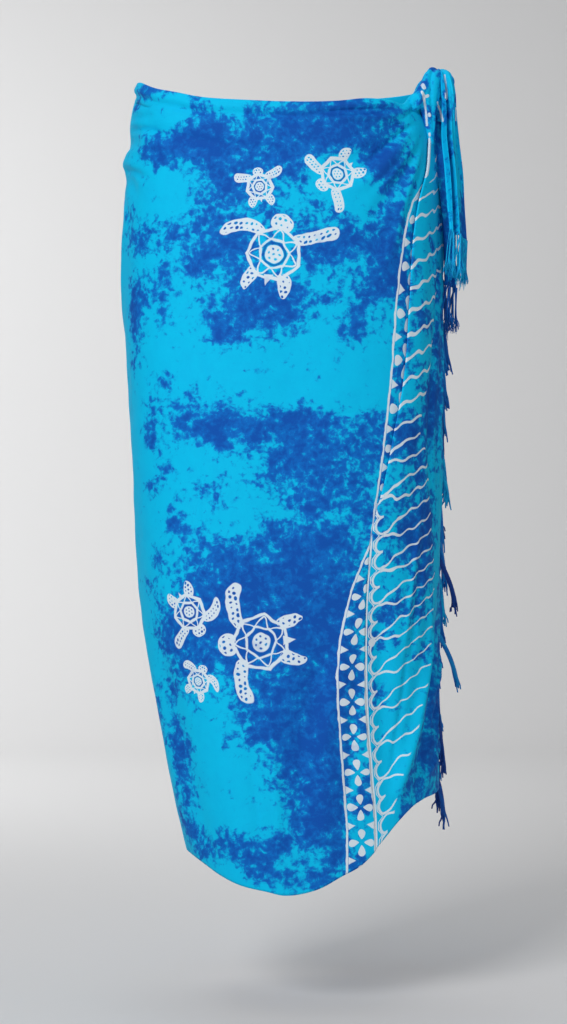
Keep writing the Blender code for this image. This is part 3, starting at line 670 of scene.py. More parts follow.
# Place along each bundle of the knot, then its centre and its radius: the loop, the folds that run
# into it, and the band
KNOT_LOOP = (
    (0.0, 0.1670, -0.0470, -0.0700, 0.0030),
    (1.0, 0.1660, -0.0520, -0.0500, 0.0058),
    (2.0, 0.1640, -0.0570, -0.0330, 0.0088),
    (3.0, 0.1635, -0.0600, -0.0180, 0.0116),
    (4.0, 0.1650, -0.0600, -0.0060, 0.0122),
    (5.0, 0.1685, -0.0560, 0.0030, 0.0108),
    (6.0, 0.1730, -0.0490, 0.0045, 0.0092),
    (7.0, 0.1770, -0.0430, -0.0040, 0.0084),
    (8.0, 0.1790, -0.0400, -0.0160, 0.0080),
)
KNOT_GATHER = (
    (0.0, 0.1430, -0.0660, -0.0330, 0.0045),
    (1.0, 0.1490, -0.0660, -0.0260, 0.0085),
    (2.0, 0.1550, -0.0650, -0.0180, 0.0104),
    (3.0, 0.1610, -0.0620, -0.0090, 0.0100),
    (4.0, 0.1660, -0.0580, 0.0000, 0.0080),
)
KNOT_BAND = (
    (0.0, 0.1790, -0.0400, -0.0420, 0.0070),
    (1.0, 0.1810, -0.0470, -0.0260, 0.0094),
    (2.0, 0.1830, -0.0510, -0.0100, 0.0104),
    (3.0, 0.1825, -0.0500, 0.0030, 0.0090),
    (4.0, 0.1780, -0.0440, 0.0080, 0.0062),
)
KNOT_SIDES = 120
KNOT_VOXEL = 0.0008

# Bundle, its rings, its grooves and the seed of its unevenness
KNOT_BUNDLES = (
    (KNOT_LOOP, 70, 6, 21),
    (KNOT_BAND, 40, 5, 22),
    (KNOT_GATHER, 40, 4, 23),
)

# Distance down the tail, then its middle, its half width and the depth of its pleats
TAILS = {
    "tail_outer": (
        (0.00, 0.1790, -0.0480, 0.0150, 0.0050, 0.0012),
        (0.08, 0.1830, -0.0600, 0.0080, 0.0070, 0.0018),
        (0.17, 0.1862, -0.0650, -0.0100, 0.0084, 0.0030),
        (0.28, 0.1880, -0.0600, -0.0330, 0.0088, 0.0044),
        (0.42, 0.1900, -0.0500, -0.0620, 0.0110, 0.0062),
        (0.60, 0.1940, -0.0480, -0.1000, 0.0120, 0.0070),
        (0.80, 0.1965, -0.0470, -0.1400, 0.0122, 0.0070),
        (1.00, 0.1985, -0.0460, -0.1740, 0.0118, 0.0060),
    ),
    "tail_inner": (
        (0.00, 0.1730, -0.0360, -0.0080, 0.0060, 0.0040),
        (0.25, 0.1800, -0.0280, -0.0850, 0.0085, 0.0052),
        (0.50, 0.1850, -0.0220, -0.1350, 0.0085, 0.0052),
        (0.75, 0.1900, -0.0150, -0.1850, 0.0090, 0.0050),
        (1.00, 0.1915, -0.0130, -0.2280, 0.0095, 0.0044),
    ),
}

# Pleats across each tail, its turn in degrees, then the length, the tufts and the shade of its fringe
TAIL_PLEATS = {"tail_outer": 1.9, "tail_inner": 1.5}
TAIL_TURN = {"tail_outer": 14.0, "tail_inner": 62.0}
TAIL_FRINGE = {"tail_outer": 0.050, "tail_inner": 0.054}
TAIL_TUFTS = {"tail_outer": 22, "tail_inner": 12}
TAIL_FRINGE_SHADE = {"tail_outer": 0.15, "tail_inner": 0.7}

# Where each tail lies in the noise of the dye, and how much dark dye is added to it as painted shade, for
# the inner tail in the outer one's shadow
TAIL_DYE_PLACE = {"tail_outer": 0.3, "tail_inner": 0.9}
TAIL_PAINTED_SHADE = {"tail_outer": 0.0, "tail_inner": 0.35}

# Brush strokes of white on the knot and the tails: half width in millimetres, then a path of x and z
STROKES = (
    (1.3, ((0.1566, -0.0198), (0.1596, -0.0315), (0.1619, -0.0496))),
    (1.6, ((0.1640, -0.0385), (0.1646, -0.0400))),
    (1.2, ((0.1650, -0.0590), (0.1652, -0.0610))),
    (1.6, ((0.1550, -0.0160), (0.1580, -0.0205), (0.1620, -0.0195))),
    (2.2, ((0.1560, -0.0080), (0.1575, -0.0110))),
    (0.9, ((0.1735, -0.0250), (0.1770, -0.0330), (0.1800, -0.0450))),
    (0.9, ((0.1815, 0.0060), (0.1830, -0.0080), (0.1835, -0.0160))),
    (1.6, ((0.1830, -0.0160), (0.1828, -0.0210))),
    (0.6, ((0.1945, -0.0300), (0.1950, -0.0440))),
)
STROKES_END_AT = -0.034


def dense(table, samples=400):
    """Many rows along the smooth curve through a table's rows, whose first column is the place."""
    rows = np.array(table, dtype=float)
    place, value = rows[:, 0], rows[:, 1:]
    slope = np.gradient(value, place, axis=0)
    at = np.linspace(place[0], place[-1], samples)
    row = np.clip(np.searchsorted(place, at, side="right") - 1, 0, len(place) - 2)
    step = (place[row + 1] - place[row])[:, None]
    t = ((at - place[row])[:, None]) / step
    curve = (
        (2 * t**3 - 3 * t**2 + 1) * value[row]
        + (t**3 - 2 * t**2 + t) * step * slope[row]
        + (3 * t**2 - 2 * t**3) * value[row + 1]
        + (t**3 - t**2) * step * slope[row + 1]
    )
    return at, curve


def read(curve, at, column=0):
    places, values = curve
    return np.interp(at, places, values[:, column])


REACH_CURVE = dense(REACH)
WAIST_CURVE = dense(WAIST_EDGE)
HEM_CURVE = dense(HEM_EDGE)
BORDER_CURVE = dense(BORDER_LINES)
WAVES_END_CURVE = dense(WAVES_END)


def straight(table):
    """A table's own rows, to be read along straight lines between them."""
    rows = np.array(table, dtype=float)
    return rows[:, 0], rows[:, 1:]


BAND_CURVE = straight(BAND_SHOWN)
PRINT_CURVE = straight(PRINT_HEIGHTS)
SLOPE_CURVE = straight(WAVE_SLOPES)


def smooth_step(start, end, value):
    t = np.clip((np.asarray(value, dtype=float) - start) / (end - start), 0.0, 1.0)
    return t * t * (3 - 2 * t)


def nearest_turn(angle, middle):
    """The same direction, within half a turn of another one."""
    return angle + 360.0 * np.round((middle - angle) / 360.0)


def dense_path(path):
    """Points along the smooth curve through a path, evenly many between each two of its points."""
    return dense([(i, *point) for i, point in enumerate(path)], PATH_STEPS)[1]


def fold_height(angle, height, table):
    """How far a table's folds raise or sink the cloth at each place."""
    total = np.zeros(np.broadcast(angle, height).shape)
    for rise, half_width, path in table:
        line = dense_path(path)
        near = nearest_turn(angle, line[:, 0].mean())
        flat = np.stack([near * ARC_PER_DEGREE, height + 0.0 * angle], axis=-1)
        line = line * (ARC_PER_DEGREE, 1.0)
        reach = 3 * half_width * MILLIMETRE
        close = np.all((flat > line.min(axis=0) - reach) & (flat < line.max(axis=0) + reach), axis=-1)
        place = flat[close]
        best, along = np.full(len(place), 1e9), np.zeros(len(place))
        for step, (start, end) in enumerate(zip(line, line[1:])):
            span = end - start
            part = np.clip((place - start) @ span / (span @ span), 0.0, 1.0)
            distance = np.linalg.norm(place - start - part[:, None] * span, axis=1)
            closer = distance < best
            best[closer] = distance[closer]
            along[closer] = (step + part[closer]) / (len(line) - 1)
        ends = smooth_step(0.0, FOLD_GROWS, along) * (1 - smooth_step(FOLD_FADES, 1.0, along))
        ends = ends * (1 - FOLD_END) + FOLD_END
        total[close] += rise * MILLIMETRE * ends * np.exp(-((best / (half_width * MILLIMETRE)) ** 2))
    return total


def unevenness(u, v, length, seed):
    """A smooth wandering value from -1 to 1 that changes over about this length."""
    rng = np.random.default_rng(seed)
    total = np.zeros(np.broadcast(u, v).shape)
    for _ in range(6):
        turn, phase, stretch = rng.uniform(0, math.pi), rng.uniform(0, 2 * math.pi), rng.uniform(0.7, 1.6)
        total += np.sin((u * math.cos(turn) + v * math.sin(turn)) * 2 * math.pi / (length * stretch) + phase)
    return total / 6


def tube(angle, height, out):
    """A point this far out from the innermost layer."""
    turn = np.radians(angle)
    s, c = np.sin(turn), np.cos(turn)
    left, right, front, back = (read(REACH_CURVE, height, column) for column in range(4))
    side = np.where(s > 0, right, left)
    face = np.where(c > 0, front, back)
    x = side * s * (1 + FULLNESS * c * c)
    y = -face * c * (1 + FULLNESS * s * s)
    along_x = side * (c * (1 + FULLNESS * c * c) - 2 * FULLNESS * s * s * c)
    along_y = face * (s * (1 + FULLNESS * s * s) - 2 * FULLNESS * s * c * c)
    length = np.hypot(along_x, along_y)
    return np.stack([x + out * along_y / length, y - out * along_x / length, height + 0 * x], axis=-1)


ARC_ANGLES = np.arange(-360.0, 141.0)
ARC_HEIGHTS = np.linspace(-0.92, 0.03, 39)


def arc_table():
    """The length round the cloth from the middle of the front, for each height and angle of a grid."""
    ring = tube(ARC_ANGLES[None, :], ARC_HEIGHTS[:, None], 0.0)
    steps = np.linalg.norm(np.diff(ring, axis=1), axis=2)
    total = np.concatenate([np.zeros((len(ARC_HEIGHTS), 1)), np.cumsum(steps, axis=1)], axis=1)
    return total - total[:, ARC_ANGLES == 0.0]


ARC_LENGTHS = arc_table()


def arc_length(angle, height):
    column = np.clip(angle - ARC_ANGLES[0], 0, len(ARC_ANGLES) - 1.001)
    row = (height - ARC_HEIGHTS[0]) / (ARC_HEIGHTS[1] - ARC_HEIGHTS[0])
    row = np.clip(row, 0, len(ARC_HEIGHTS) - 1.001)
    i, j = row.astype(int), column.astype(int)
    a, b = row - i, column - j
    low = ARC_LENGTHS[i, j] * (1 - b) + ARC_LENGTHS[i, j + 1] * b
    high = ARC_LENGTHS[i + 1, j] * (1 - b) + ARC_LENGTHS[i + 1, j + 1] * b
    return low * (1 - a) + high * a


def even_grid(name, start, end, top):
    """Angles and heights of an even grid on a stretch of cloth whose two edges may lean."""
    columns, rows = GRIDS[name]
    across = np.linspace(0.0, 1.0, columns)[:, None]

    def lean(height):
        return start(height) + across * (end(height) - start(height))

    waist = 0.0 * across
    hem = 0.0 * across - 0.85
    for _ in range(5):
        waist = top(lean(waist))
        hem = read(HEM_CURVE, lean(hem))
    height = waist + np.linspace(0.0, 1.0, rows)[None, :] * (hem - waist)
    return lean(height), height


def waist_roll(angle, below):
    """The soft, uneven roll of the turned waist edge, and the crease under it."""
    wander = unevenness(angle * ARC_PER_DEGREE, 0.0 * below, 0.07, 3)
    roll_rise, roll_place, roll_width = 0.0024 + 0.0008 * wander, 0.006, 0.0045
    crease_rise, crease_place, crease_width = 0.0022 + 0.0010 * wander, 0.0140, 0.0026
    roll = roll_rise * np.exp(-(((below - roll_place) / roll_width) ** 2))
    crease = crease_rise * np.exp(-(((below - crease_place - 0.002 * wander) / crease_width) ** 2))
    return roll - crease


def add_turned_edge(angle, height, out):
    """The same rows, after new ones that carry the cloth over its top edge from inside."""
    turns = np.radians(np.linspace(180.0, 25.0, 7))[None, :]
    waist, edge_angle, edge_out = height[:, :1], angle[:, :1], out[:, :1]
    depths = np.array([1.0, 0.8, 0.6, 0.4, 0.2])[None, :] * TURN_DEPTH
    added = turns.size + depths.size
    inner_height = waist - depths
    inner_out = edge_out - 2 * TURN_RADIUS + 0.0 * depths
    roll_height = waist - TURN_RADIUS * (1 - np.sin(turns))
    roll_out = edge_out - TURN_RADIUS * (1 - np.cos(turns))
    heights = np.concatenate([inner_height, roll_height, height - TURN_RADIUS], axis=1)
    outs = np.concatenate([inner_out, roll_out, out], axis=1)
    angles = np.concatenate([np.repeat(edge_angle, added, axis=1), angle], axis=1)
    return angles, heights, outs


def front_layer(angle, height):
    """How far out the front lies: it rises off the back at the left hip and is pressed in by the pleat."""
    past = angle - read(BORDER_CURVE, height, 0)
    covered = smooth_step(-3.5, 0.5, past) * smooth_step(PLEAT_OPENS, PLEAT_OPENS + 0.03, height)
    return LAYER_STEP * smooth_step(-86.0, -38.0, angle) - PLEAT_PRESS * covered


def pleat_closed(height):
    """1 where the cloth is folded under itself at the border, 0 below, where it hangs open."""
    return smooth_step(PLEAT_OPENS - 0.045, PLEAT_OPENS + 0.005, height)


def pleat_layer(angle, height):
    """How far out the border lies: a layer further beside its fold, where two lie under it."""
    past = angle - read(BORDER_CURVE, height, 0)
    return LAYER_STEP * (1 + pleat_closed(height) * (1 - smooth_step(6.0, 17.0, past)))


def surface_detail(angle, height):
    """All folds, creases and the slow wander of a hanging cloth."""
    u = arc_length(angle, height)
    wander = 0.0012 * unevenness(u, 0.4 * height, 0.11, 5) + 0.0005 * unevenness(u, height, 0.035, 6)
    creases = CREASE_STRENGTH * fold_height(angle, height, CREASES)
    return fold_height(angle, height, FOLDS) + creases + wander


def back_end(height):
    return BACK_END + (BACK_END_AT_WAIST - BACK_END) * smooth_step(*BACK_END_CHANGES, height)


def dye_and_shade_depth(angle, height):
    """How deep the dark dye lies at each place, from the listed patches."""
    # Part of this depth is painted shade: one of the hidden patches darkens the cloth for a shadow beside a
    # ridge
    clear = np.ones(np.broadcast(angle, height).shape)
    for patch_angle, patch_z, half_width, half_height, strength in (*DYE_PATCHES, *HIDDEN_PATCHES):
        near = nearest_turn(angle, patch_angle)
        across = (near - patch_angle) * ARC_PER_DEGREE / (half_width * MILLIMETRE)
        down = (height - patch_z) / (half_height * MILLIMETRE)
        cover = PATCH_COVER * min(strength, FULL_STRENGTH) / FULL_STRENGTH
        clear *= 1 - cover * np.exp(-0.50 * (across**2 + down**2))
    return 1 - clear


def border_place(angle, height, on_border):
    """Place on the print: across from its thick line, its height, and how far past the ends of the waves."""
    around = arc_length(angle, height)
    beside = around - arc_length(read(BORDER_CURVE, height, 0), height)
    shown, hidden = read(BAND_CURVE, height, 0), read(BAND_CURVE, height, 1)
    across = beside + hidden if on_border else beside - (BAND_WIDTH - shown)
    along = read(PRINT_CURVE, height)
    if on_border:
        along = along - read(SLOPE_CURVE, height) * np.maximum(across - WAVES_START, 0.0)
    past = around - arc_length(read(WAVES_END_CURVE, height), height)
    return np.stack([across, along, past], axis=-1)


def turtle_places(angle, height):
    """Three fields of places in the nearest turtle's own measure, so that neighbours never share one."""
    fields = []
    for group in (TURTLES[0::3], TURTLES[1::3], TURTLES[2::3]):
        field = np.full((*np.broadcast(angle, height).shape, 3), FAR_FROM_TURTLES)
        field[..., 2] = 0.0
        nearest = np.full(field.shape[:-1], 1e9)
        for turtle_angle, turtle_z, radius, heading, left_lift, right_lift in group:
            near = nearest_turn(angle, turtle_angle)
            right = arc_length(near, height) - arc_length(np.full(near.shape, turtle_angle), height)
            up = height - turtle_z
            turn = math.radians(heading)
            x = (right * math.cos(turn) - up * math.sin(turn)) / radius
            y = (right * math.sin(turn) + up * math.cos(turn)) / radius
            side = np.abs(x)
            y = y - np.where(x < 0, left_lift, right_lift) * smooth_step(0.7, 2.2, side) * (side - 0.5)
            distance = np.hypot(x, y)
            closer = distance < nearest
            nearest = np.where(closer, distance, nearest)
            limb = 1.0 + 0.5 * np.clip((0.030 - radius) / 0.0165, 0.0, 1.0)
            place = np.stack([x, y, limb * smooth_step(*TURTLE_FADES, distance)], axis=-1)
            field = np.where(closer[..., None], place, field)
        fields.append(field)
    return fields


class Signal:
    """A value in a material's nodes, with plain arithmetic."""

    def __init__(self, tree, socket):
        self.tree = tree
        self.socket = socket

    def math(self, operation, *others):
        node = self.tree.nodes.new("ShaderNodeMath")
        node.operation = operation
        for slot, value in zip(node.inputs, (self, *others)):
            feed(self.tree, slot, value)
        return Signal(self.tree, node.outputs[0])

    def __add__(self, other):
        return self.math("ADD", other)

    __radd__ = __add__

    def __sub__(self, other):
        return self.math("SUBTRACT", other)

    def __rsub__(self, other):
        return self.math("MULTIPLY", -1.0).math("ADD", other)

    def __mul__(self, other):
        return self.math("MULTIPLY", other)

    def __truediv__(self, other):
        return self.math("DIVIDE", other)

    def __abs__(self):
        return self.math("ABSOLUTE")

    def __pow__(self, other):
        return self.math("POWER", other)

    def fraction(self):
        return self.math("FRACT")

    def sine(self):
        return self.math("SINE")

    def above(self, other):
        return self.math("MAXIMUM", other)

    def under(self, other):
        return self.math("MINIMUM", other)


def feed(tree, slot, value):
    if isinstance(value, Signal):
        tree.links.new(value.socket, slot)
    else:
        slot.default_value = value


def ramp(value, start, end, low=0.0, high=1.0):
    """Goes smoothly from low to high as a signal goes from start to end."""
    node = value.tree.nodes.new("ShaderNodeMapRange")
    node.interpolation_type = "SMOOTHSTEP"
    feed(value.tree, node.inputs["Value"], value)
    for name, level in (("From Min", start), ("From Max", end), ("To Min", low), ("To Max", high)):
        feed(value.tree, node.inputs[name], level)
    return Signal(value.tree, node.outputs["Result"])


def inside(value, limit, soft):
    """1 where a signal is below a limit, with a soft edge this wide."""
    return ramp(value - limit, -soft, soft, 1.0, 0.0)


def split(tree, socket):
    node = tree.nodes.new("ShaderNodeSeparateXYZ")
    tree.links.new(socket, node.inputs[0])
    return [Signal(tree, output) for output in node.outputs]


def attribute(tree, name):
    node = tree.nodes.new("ShaderNodeAttribute")
    node.attribute_name = name
    return node.outputs["Color"]


def noise(tree, place, scale, detail=2.0, roughness=0.5, distortion=0.0):
    node = tree.nodes.new("ShaderNodeTexNoise")
    tree.links.new(place, node.inputs["Vector"])
    settings = {"Scale": scale, "Detail": detail, "Roughness": roughness, "Distortion": distortion}
    for name, value in settings.items():
        node.inputs[name].default_value = value
    return Signal(tree, node.outputs["Fac"])


def moved(tree, place, offset):
    node = tree.nodes.new("ShaderNodeVectorMath")
    tree.links.new(place, node.inputs[0])
    node.inputs[1].default_value = offset
    return node.outputs[0]


def blend(tree, amount, low, high):
    """A colour between two, each a socket or four numbers."""
    node = tree.nodes.new("ShaderNodeMix")
    node.data_type = "RGBA"
    feed(tree, node.inputs["Factor"], amount)
    for slot, colour in ((node.inputs[6], low), (node.inputs[7], high)):
        if isinstance(colour, tuple):
            slot.default_value = colour
        else:
            tree.links.new(colour, slot)
    return node.outputs[2]


def oval(x, y, half_width, half_height):
    """Below 1 inside an oval round the origin."""
    return (x / half_width) ** 2.0 + (y / half_height) ** 2.0


def petal(reach, aside):
    """Below 1 inside a petal that points to the middle of its flower."""
    middle, half_length, half_width = 0.0088, 0.0056, 0.0036
    return oval(reach - middle, aside * (reach.above(0.002) / middle) ** -0.8, half_length, half_width)


def stripe(distance, half_width):
    """A drawn line where a distance is close to 0."""
    return inside(abs(distance), half_width, LINE_EDGE)


def bell(value, width):
    """1 where a signal is 0, falling away over this width."""
    return ((value / width) ** 2.0 * -1.0).math("EXPONENT")


def flower_lines(across, place):
    """The band's flowers, one to a repeat, and the triangles between them."""
    x = abs(across + BAND_WIDTH / 2)
    y = abs((place + 0.5).fraction() * PRINT_PITCH - PRINT_PITCH / 2)
    petals = petal(x, y).under(petal(y, x))
    inward = BAND_WIDTH / 2 - x
    corners = (abs(y - PRINT_PITCH / 2) + inward * 0.5) / 0.0050
    return inside(petals.under(corners), 1.0, 0.10) * inside(inward * -1.0, -0.0016, LINE_EDGE)


def scallop_lines(across, cell, fat):
    """The row of scallops, and the fine line that follows its points."""
    lobe = oval(across - LOBE_PLACE, cell - LOBE_HEIGHT, LOBE_WIDTH, LOBE_HEIGHT) ** 0.5
    scallop = stripe((lobe - 1.0) * LOBE_WIDTH, fat * THIN_LINE) * inside(across, LOBE_PLACE, 0.0004)
    point_width = 0.006
    points = (1.0 - cell / point_width).above(0.0) * 0.0045
    hollows = (1.0 - (PRINT_PITCH / 2 - cell) / point_width).above(0.0) * 0.0062
    return scallop.above(stripe(across - (points + hollows) - 0.0037, fat * FINE_LINE))


def wave_lines(across, along, turn, fat, calm):
    """Two waves to a repeat, from the scallops outwards: even and gathered low down, hooked higher up."""
    beyond = (across - LOBE_PLACE).above(0.0)
    gather = bell(beyond, 0.014) * (2 * LOBE_HEIGHT - PRINT_PITCH / 4) * calm
    hook = bell(beyond, 0.007) * (1.0 - calm) * 0.0050
    wiggle = ((across * 300.0) + (along * 45.0).sine() * 3.0).sine() * ramp(beyond, 0.0, 0.010, 0.0, 0.0013)
    aside = (wiggle + hook) * ramp(turn, -0.02, 0.02, -1.0, 1.0)
    stray = abs(turn) * PRINT_PITCH - gather - PRINT_PITCH / 4 + aside
    brush = fat * ramp(along, -0.70, -0.50, 0.0010, 0.0014) * ramp(beyond, 0.0, 0.045, 1.2, 0.8)
    return stripe(stray, brush) * ramp(along, -0.060, -0.085) * inside(across * -1.0, -LOBE_PLACE, LINE_EDGE)


def print_lines(tree):
    """White of the border's lines, flowers, scallops and waves, then where its band and its end zone are."""
    across, along, past = split(tree, attribute(tree, "border"))
    cloth = attribute(tree, "cloth")
    wobble = noise(tree, cloth, 70.0, 2.0) - 0.5
    fat = 1.0 + wobble * 1.1
    across = across + wobble * 0.0026
    drawn = along + (noise(tree, moved(tree, cloth, (5.0, 2.0, 0.0)), 65.0, 1.0) - 0.5) * 0.0040
    place = (drawn - FLOWER_HEIGHT) / PRINT_PITCH
    turn = (place - CUSP_LIFT / PRINT_PITCH + 0.5).fraction() - 0.5
    calm = ramp(along, -0.400, -0.460)
    thick = stripe(across, fat * THICK_LINE)
    thin = stripe(across + BAND_WIDTH, fat * THIN_LINE)
    waves = wave_lines(across, along, turn, fat, calm) * inside(past, -0.0025, 0.0008)
    blot_x, blot_z, blot_radius = WAX_BLOT
    blot = inside(oval(across - blot_x, along - blot_z, blot_radius, blot_radius) + wobble, 1.0, 0.2)
    scallops = scallop_lines(across, abs(turn) * PRINT_PITCH, fat)
    figures = scallops.above(blot) * inside(past, 0.0, 0.0006) * calm
    lines = thick.above(thin).above(flower_lines(across, place)).above(figures).above(waves)
    band = inside(abs(across + BAND_WIDTH / 2), BAND_WIDTH / 2, 0.0004)
    end_zone = ramp(past, 0.0, 0.006) * ramp(along, -0.60, -0.68)
    return lines, band, end_zone


def repeated(bearing, count, start):
    """Runs from -0.5 to 0.5 in each of a number of equal sectors; the start keeps it above 0."""
    return (bearing * (count / (2 * math.pi)) + start).fraction() - 0.5


def polygon(radius, bearing, sides, size, turned=0.0):
    """0 on the outline of a regular polygon and above 0 outside it."""
    step = 2 * math.pi / sides
    within = ((bearing + turned) / step + 10.5).fraction() - 0.5
    return radius * (within * step).math("COSINE") - size * math.cos(math.pi / sides)


def shell_lines(radius, bearing, limb):
    """The shell's two outlines, the zigzag of spokes between them, and the dotted disc in its middle."""
    outer = abs(polygon(radius, bearing, SHELL_SIDES, SHELL_SIZE, math.pi / SHELL_SIDES))
    inner = abs(polygon(radius, bearing, SHELL_SIDES, CORE_SIZE))
    outline = inside(outer, limb * limb * 0.052, TURTLE_EDGE)
    outline = outline.above(inside(inner, limb * limb * 0.040, TURTLE_EDGE))
    between = (radius - 0.55) / 0.42
    teeth = abs(repeated(bearing, SHELL_SIDES, 21.0) * 2.0)
    spokes = inside(abs(teeth - between) * 0.34, limb * 0.030, 0.015)
    spokes = spokes * inside(radius, 0.98, TURTLE_EDGE) * inside(radius * -1.0, -0.56, TURTLE_EDGE)
    ring = abs(radius - CENTRE_RING)
    sideways = abs(repeated(bearing, CENTRE_DOTS, 20.0)) * (2 * math.pi / CENTRE_DOTS * CENTRE_RING)
    dots = inside((ring * ring + sideways * sideways) ** 0.5, CENTRE_DOT, TURTLE_EDGE)
    dots = dots.above(inside(radius, CENTRE_DOT, TURTLE_EDGE))
    return outline.above(spokes).above(inside(radius, 0.35, TURTLE_EDGE) - dots)


def front_flippers(side, y, limb):
    """Below 1 inside a long front flipper, which is shorter and fatter on a small turtle."""
    short = (limb - 1.0) * 0.45
    beyond = (abs(side - 1.38 + short) - 0.62 + short).above(0.0)
    raised = y - 0.88 + (side - 1.35) ** 2.0 * 0.30
    return (beyond * beyond + raised * raised) ** 0.5 / (limb * (side * 0.05 + 0.18))


def rear_flippers(side, y, limb):
    """Below 1 inside a rear flipper, which narrows to its tip."""
    down = ((y * -1.0) - 0.80) / 0.88
    slim = (1.0 - down).above(0.001) ** 0.7 * (down + 0.30).above(0.001) ** 0.5 * limb * 0.42
    aside = abs(side - 0.60 - down * 0.34 + down * down * 0.16) / slim
    return aside + (y + 0.70).above(0.0) * 30.0 + (down - 0.97).above(0.0) * 90.0


def limb_dots(tree, name, x, y):
    """Staggered rows of dots of uneven size."""
    row = (y / DOT_PITCH).math("FLOOR")
    dot_x = ((x / DOT_PITCH) + row * 0.5 + 40.0).fraction() - 0.5
    dot_y = ((y / DOT_PITCH) + 40.0).fraction() - 0.5
    size = noise(tree, attribute(tree, name), 3.1, 0.0) * 0.46 + 0.01
    return inside((dot_x * dot_x + dot_y * dot_y) ** 0.5, size, 0.07)


def turtle_lines(tree, name):
    """White of a turtle built from dots, ovals and polygons, then the dark ring on its shell."""
    x, y, limb = split(tree, attribute(tree, name))
    cloth = attribute(tree, "cloth")
    x = x + (noise(tree, cloth, 70.0, 1.0) - 0.5) * 0.16
    y = y + (noise(tree, moved(tree, cloth, (1.0, 4.0, 0.0)), 70.0, 1.0) - 0.5) * 0.16
    radius = (x * x + y * y) ** 0.5
    bearing = x.math("ARCTAN2", y)
    side = abs(x)
    head = oval(x, y - 1.22, 0.43, 0.38)
    limbs = front_flippers(side, y, limb).under(rear_flippers(side, y, limb)).under(head)
    limbs = limbs + (0.92 - radius).above(0.0) * 30.0
    tail = inside(side + ((y * -1.0) - 0.90) * 0.42, 0.17, TURTLE_EDGE) * inside(y, -0.84, TURTLE_EDGE)
    dotted = limb_dots(tree, name, x, y) * inside(limbs, 0.70, 0.05)
    flesh = inside(limbs, 1.0, 0.07) - dotted
    white = shell_lines(radius, bearing, limb).above(flesh).above(tail)
    shown = ramp(limb, 0.5, 0.9)
    return white * shown, inside(abs(radius - 0.43), 0.05, TURTLE_EDGE) * shown


def dye_colour(tree, place, depth):
    """Turquoise with feathery blue patches, deeper in their middles."""
    coarse = noise(tree, place, 36.0, 6.0, 0.66, 0.5) - 0.5
    fine = noise(tree, moved(tree, place, (3.0, 1.0, 0.0)), 120.0, 4.0, 0.60, 0.3) - 0.5
    swirl = noise(tree, moved(tree, place, (7.0, 2.0, 0.0)), 34.0, 4.0, 0.6, 1.6) - 0.5
    vein = inside(abs(swirl), 0.006, 0.030)
    level = depth + coarse * 1.5 + fine * 1.9 - vein * 0.16
    blue = ramp(level, 0.24, 0.66)
    deep = ramp(level + coarse * 0.6, 0.50, 1.10)
    mottle = noise(tree, moved(tree, place, (9.0, 4.0, 0.0)), 60.0, 4.0, 0.7)
    light = blend(tree, ramp(mottle, 0.35, 0.75) * 0.35, DYES["light"], DYES["washed"])
    return blend(tree, deep, blend(tree, blue, light, DYES["middle"]), DYES["dark"])


def new_material(name, roughness, specular):
    material = bpy.data.materials.new(name)
    material.use_nodes = True
    tree = material.node_tree
    shader = tree.nodes["Principled BSDF"]
    shader.inputs["Roughness"].default_value = roughness
    shader.inputs["Specular IOR Level"].default_value = specular
    return material, tree, shader


def brush_strokes(tree, place):
    reach = split(tree, attribute(tree, "brush"))[0]
    rough = noise(tree, place, 160.0, 2.0) - 0.5
    return inside(reach + rough * 0.0012, 0.0, LINE_EDGE)


def add_weave(tree, place, shader):
    """The weave and the soft crumple of the cloth, in metres, as bump."""
    weave = noise(tree, place, 900.0, 2.0) * 0.00005
    crumple = noise(tree, place, 75.0, 3.0, 0.5) * 0.00035
    bump = tree.nodes.new("ShaderNodeBump")
    bump.inputs["Distance"].default_value = 1.0
    bump.inputs["Strength"].default_value = 1.0
    feed(tree, bump.inputs["Height"], weave + crumple)
    tree.links.new(bump.outputs["Normal"], shader.inputs["Normal"])


def cloth_material(name, bordered=False, turtles=False, brushed=False):
    """Dyed cloth, with whichever parts of the white print its piece carries."""
    material, tree, shader = new_material(name, 0.68, 0.06)
    place = attribute(tree, "cloth")
    depth = split(tree, attribute(tree, "dye"))[0]
    whites = []
    if bordered:
        lines, band, end_zone = print_lines(tree)
        whites.append(lines)
        worn = ramp(noise(tree, moved(tree, place, (4.0, 8.0, 0.0)), 22.0, 2.0), 0.38, 0.60, 0.20, 0.70)
        depth = depth.above(band * worn).above(end_zone * 0.58)
    colour = dye_colour(tree, place, depth)
    for group in TURTLE_FIELDS if turtles else ():
        lines, ring = turtle_lines(tree, group)
        whites.append(lines)
        colour = blend(tree, ring * 0.8, colour, DYES["dark"])
    if brushed:
        whites.append(brush_strokes(tree, place))
    if whites:
        white = whites[0]
        for more in whites[1:]:
            white = white.above(more)
        wash = noise(tree, moved(tree, place, (2.0, 7.0, 0.0)), 45.0, 3.0)
        colour = blend(tree, white * ramp(wash, 0.2, 0.42, 0.72, 0.97), colour, DYES["white"])
    tree.links.new(colour, shader.inputs["Base Color"])
    add_weave(tree, place, shader)
    return material


def field_of(first, second=0.0):
    """A field of three numbers a point, of which one or two are used."""
    zero = 0.0 * first
    return np.stack([first, second + zero, zero], axis=-1)


def add_mesh(name, vertices, faces, material, fields=(), uv=None):
    mesh = bpy.data.meshes.new(name)
    mesh.from_pydata(np.asarray(vertices, dtype=float).tolist(), [], np.asarray(faces).tolist())
    mesh.shade_smooth()
    for field_name, values in dict(fields).items():
        set_field(mesh, field_name, values)
    if uv is not None:
        layer = mesh.uv_layers.new(name="OFBake")
        corners = np.empty(len(mesh.loops), dtype=np.int32)
        mesh.loops.foreach_get("vertex_index", corners)
        layer.data.foreach_set("uv", np.asarray(uv, dtype=np.float32)[corners].ravel())
    mesh.materials.append(material)
    obj = bpy.data.objects.new(name, mesh)
    bpy.context.scene.collection.objects.link(obj)
    return obj


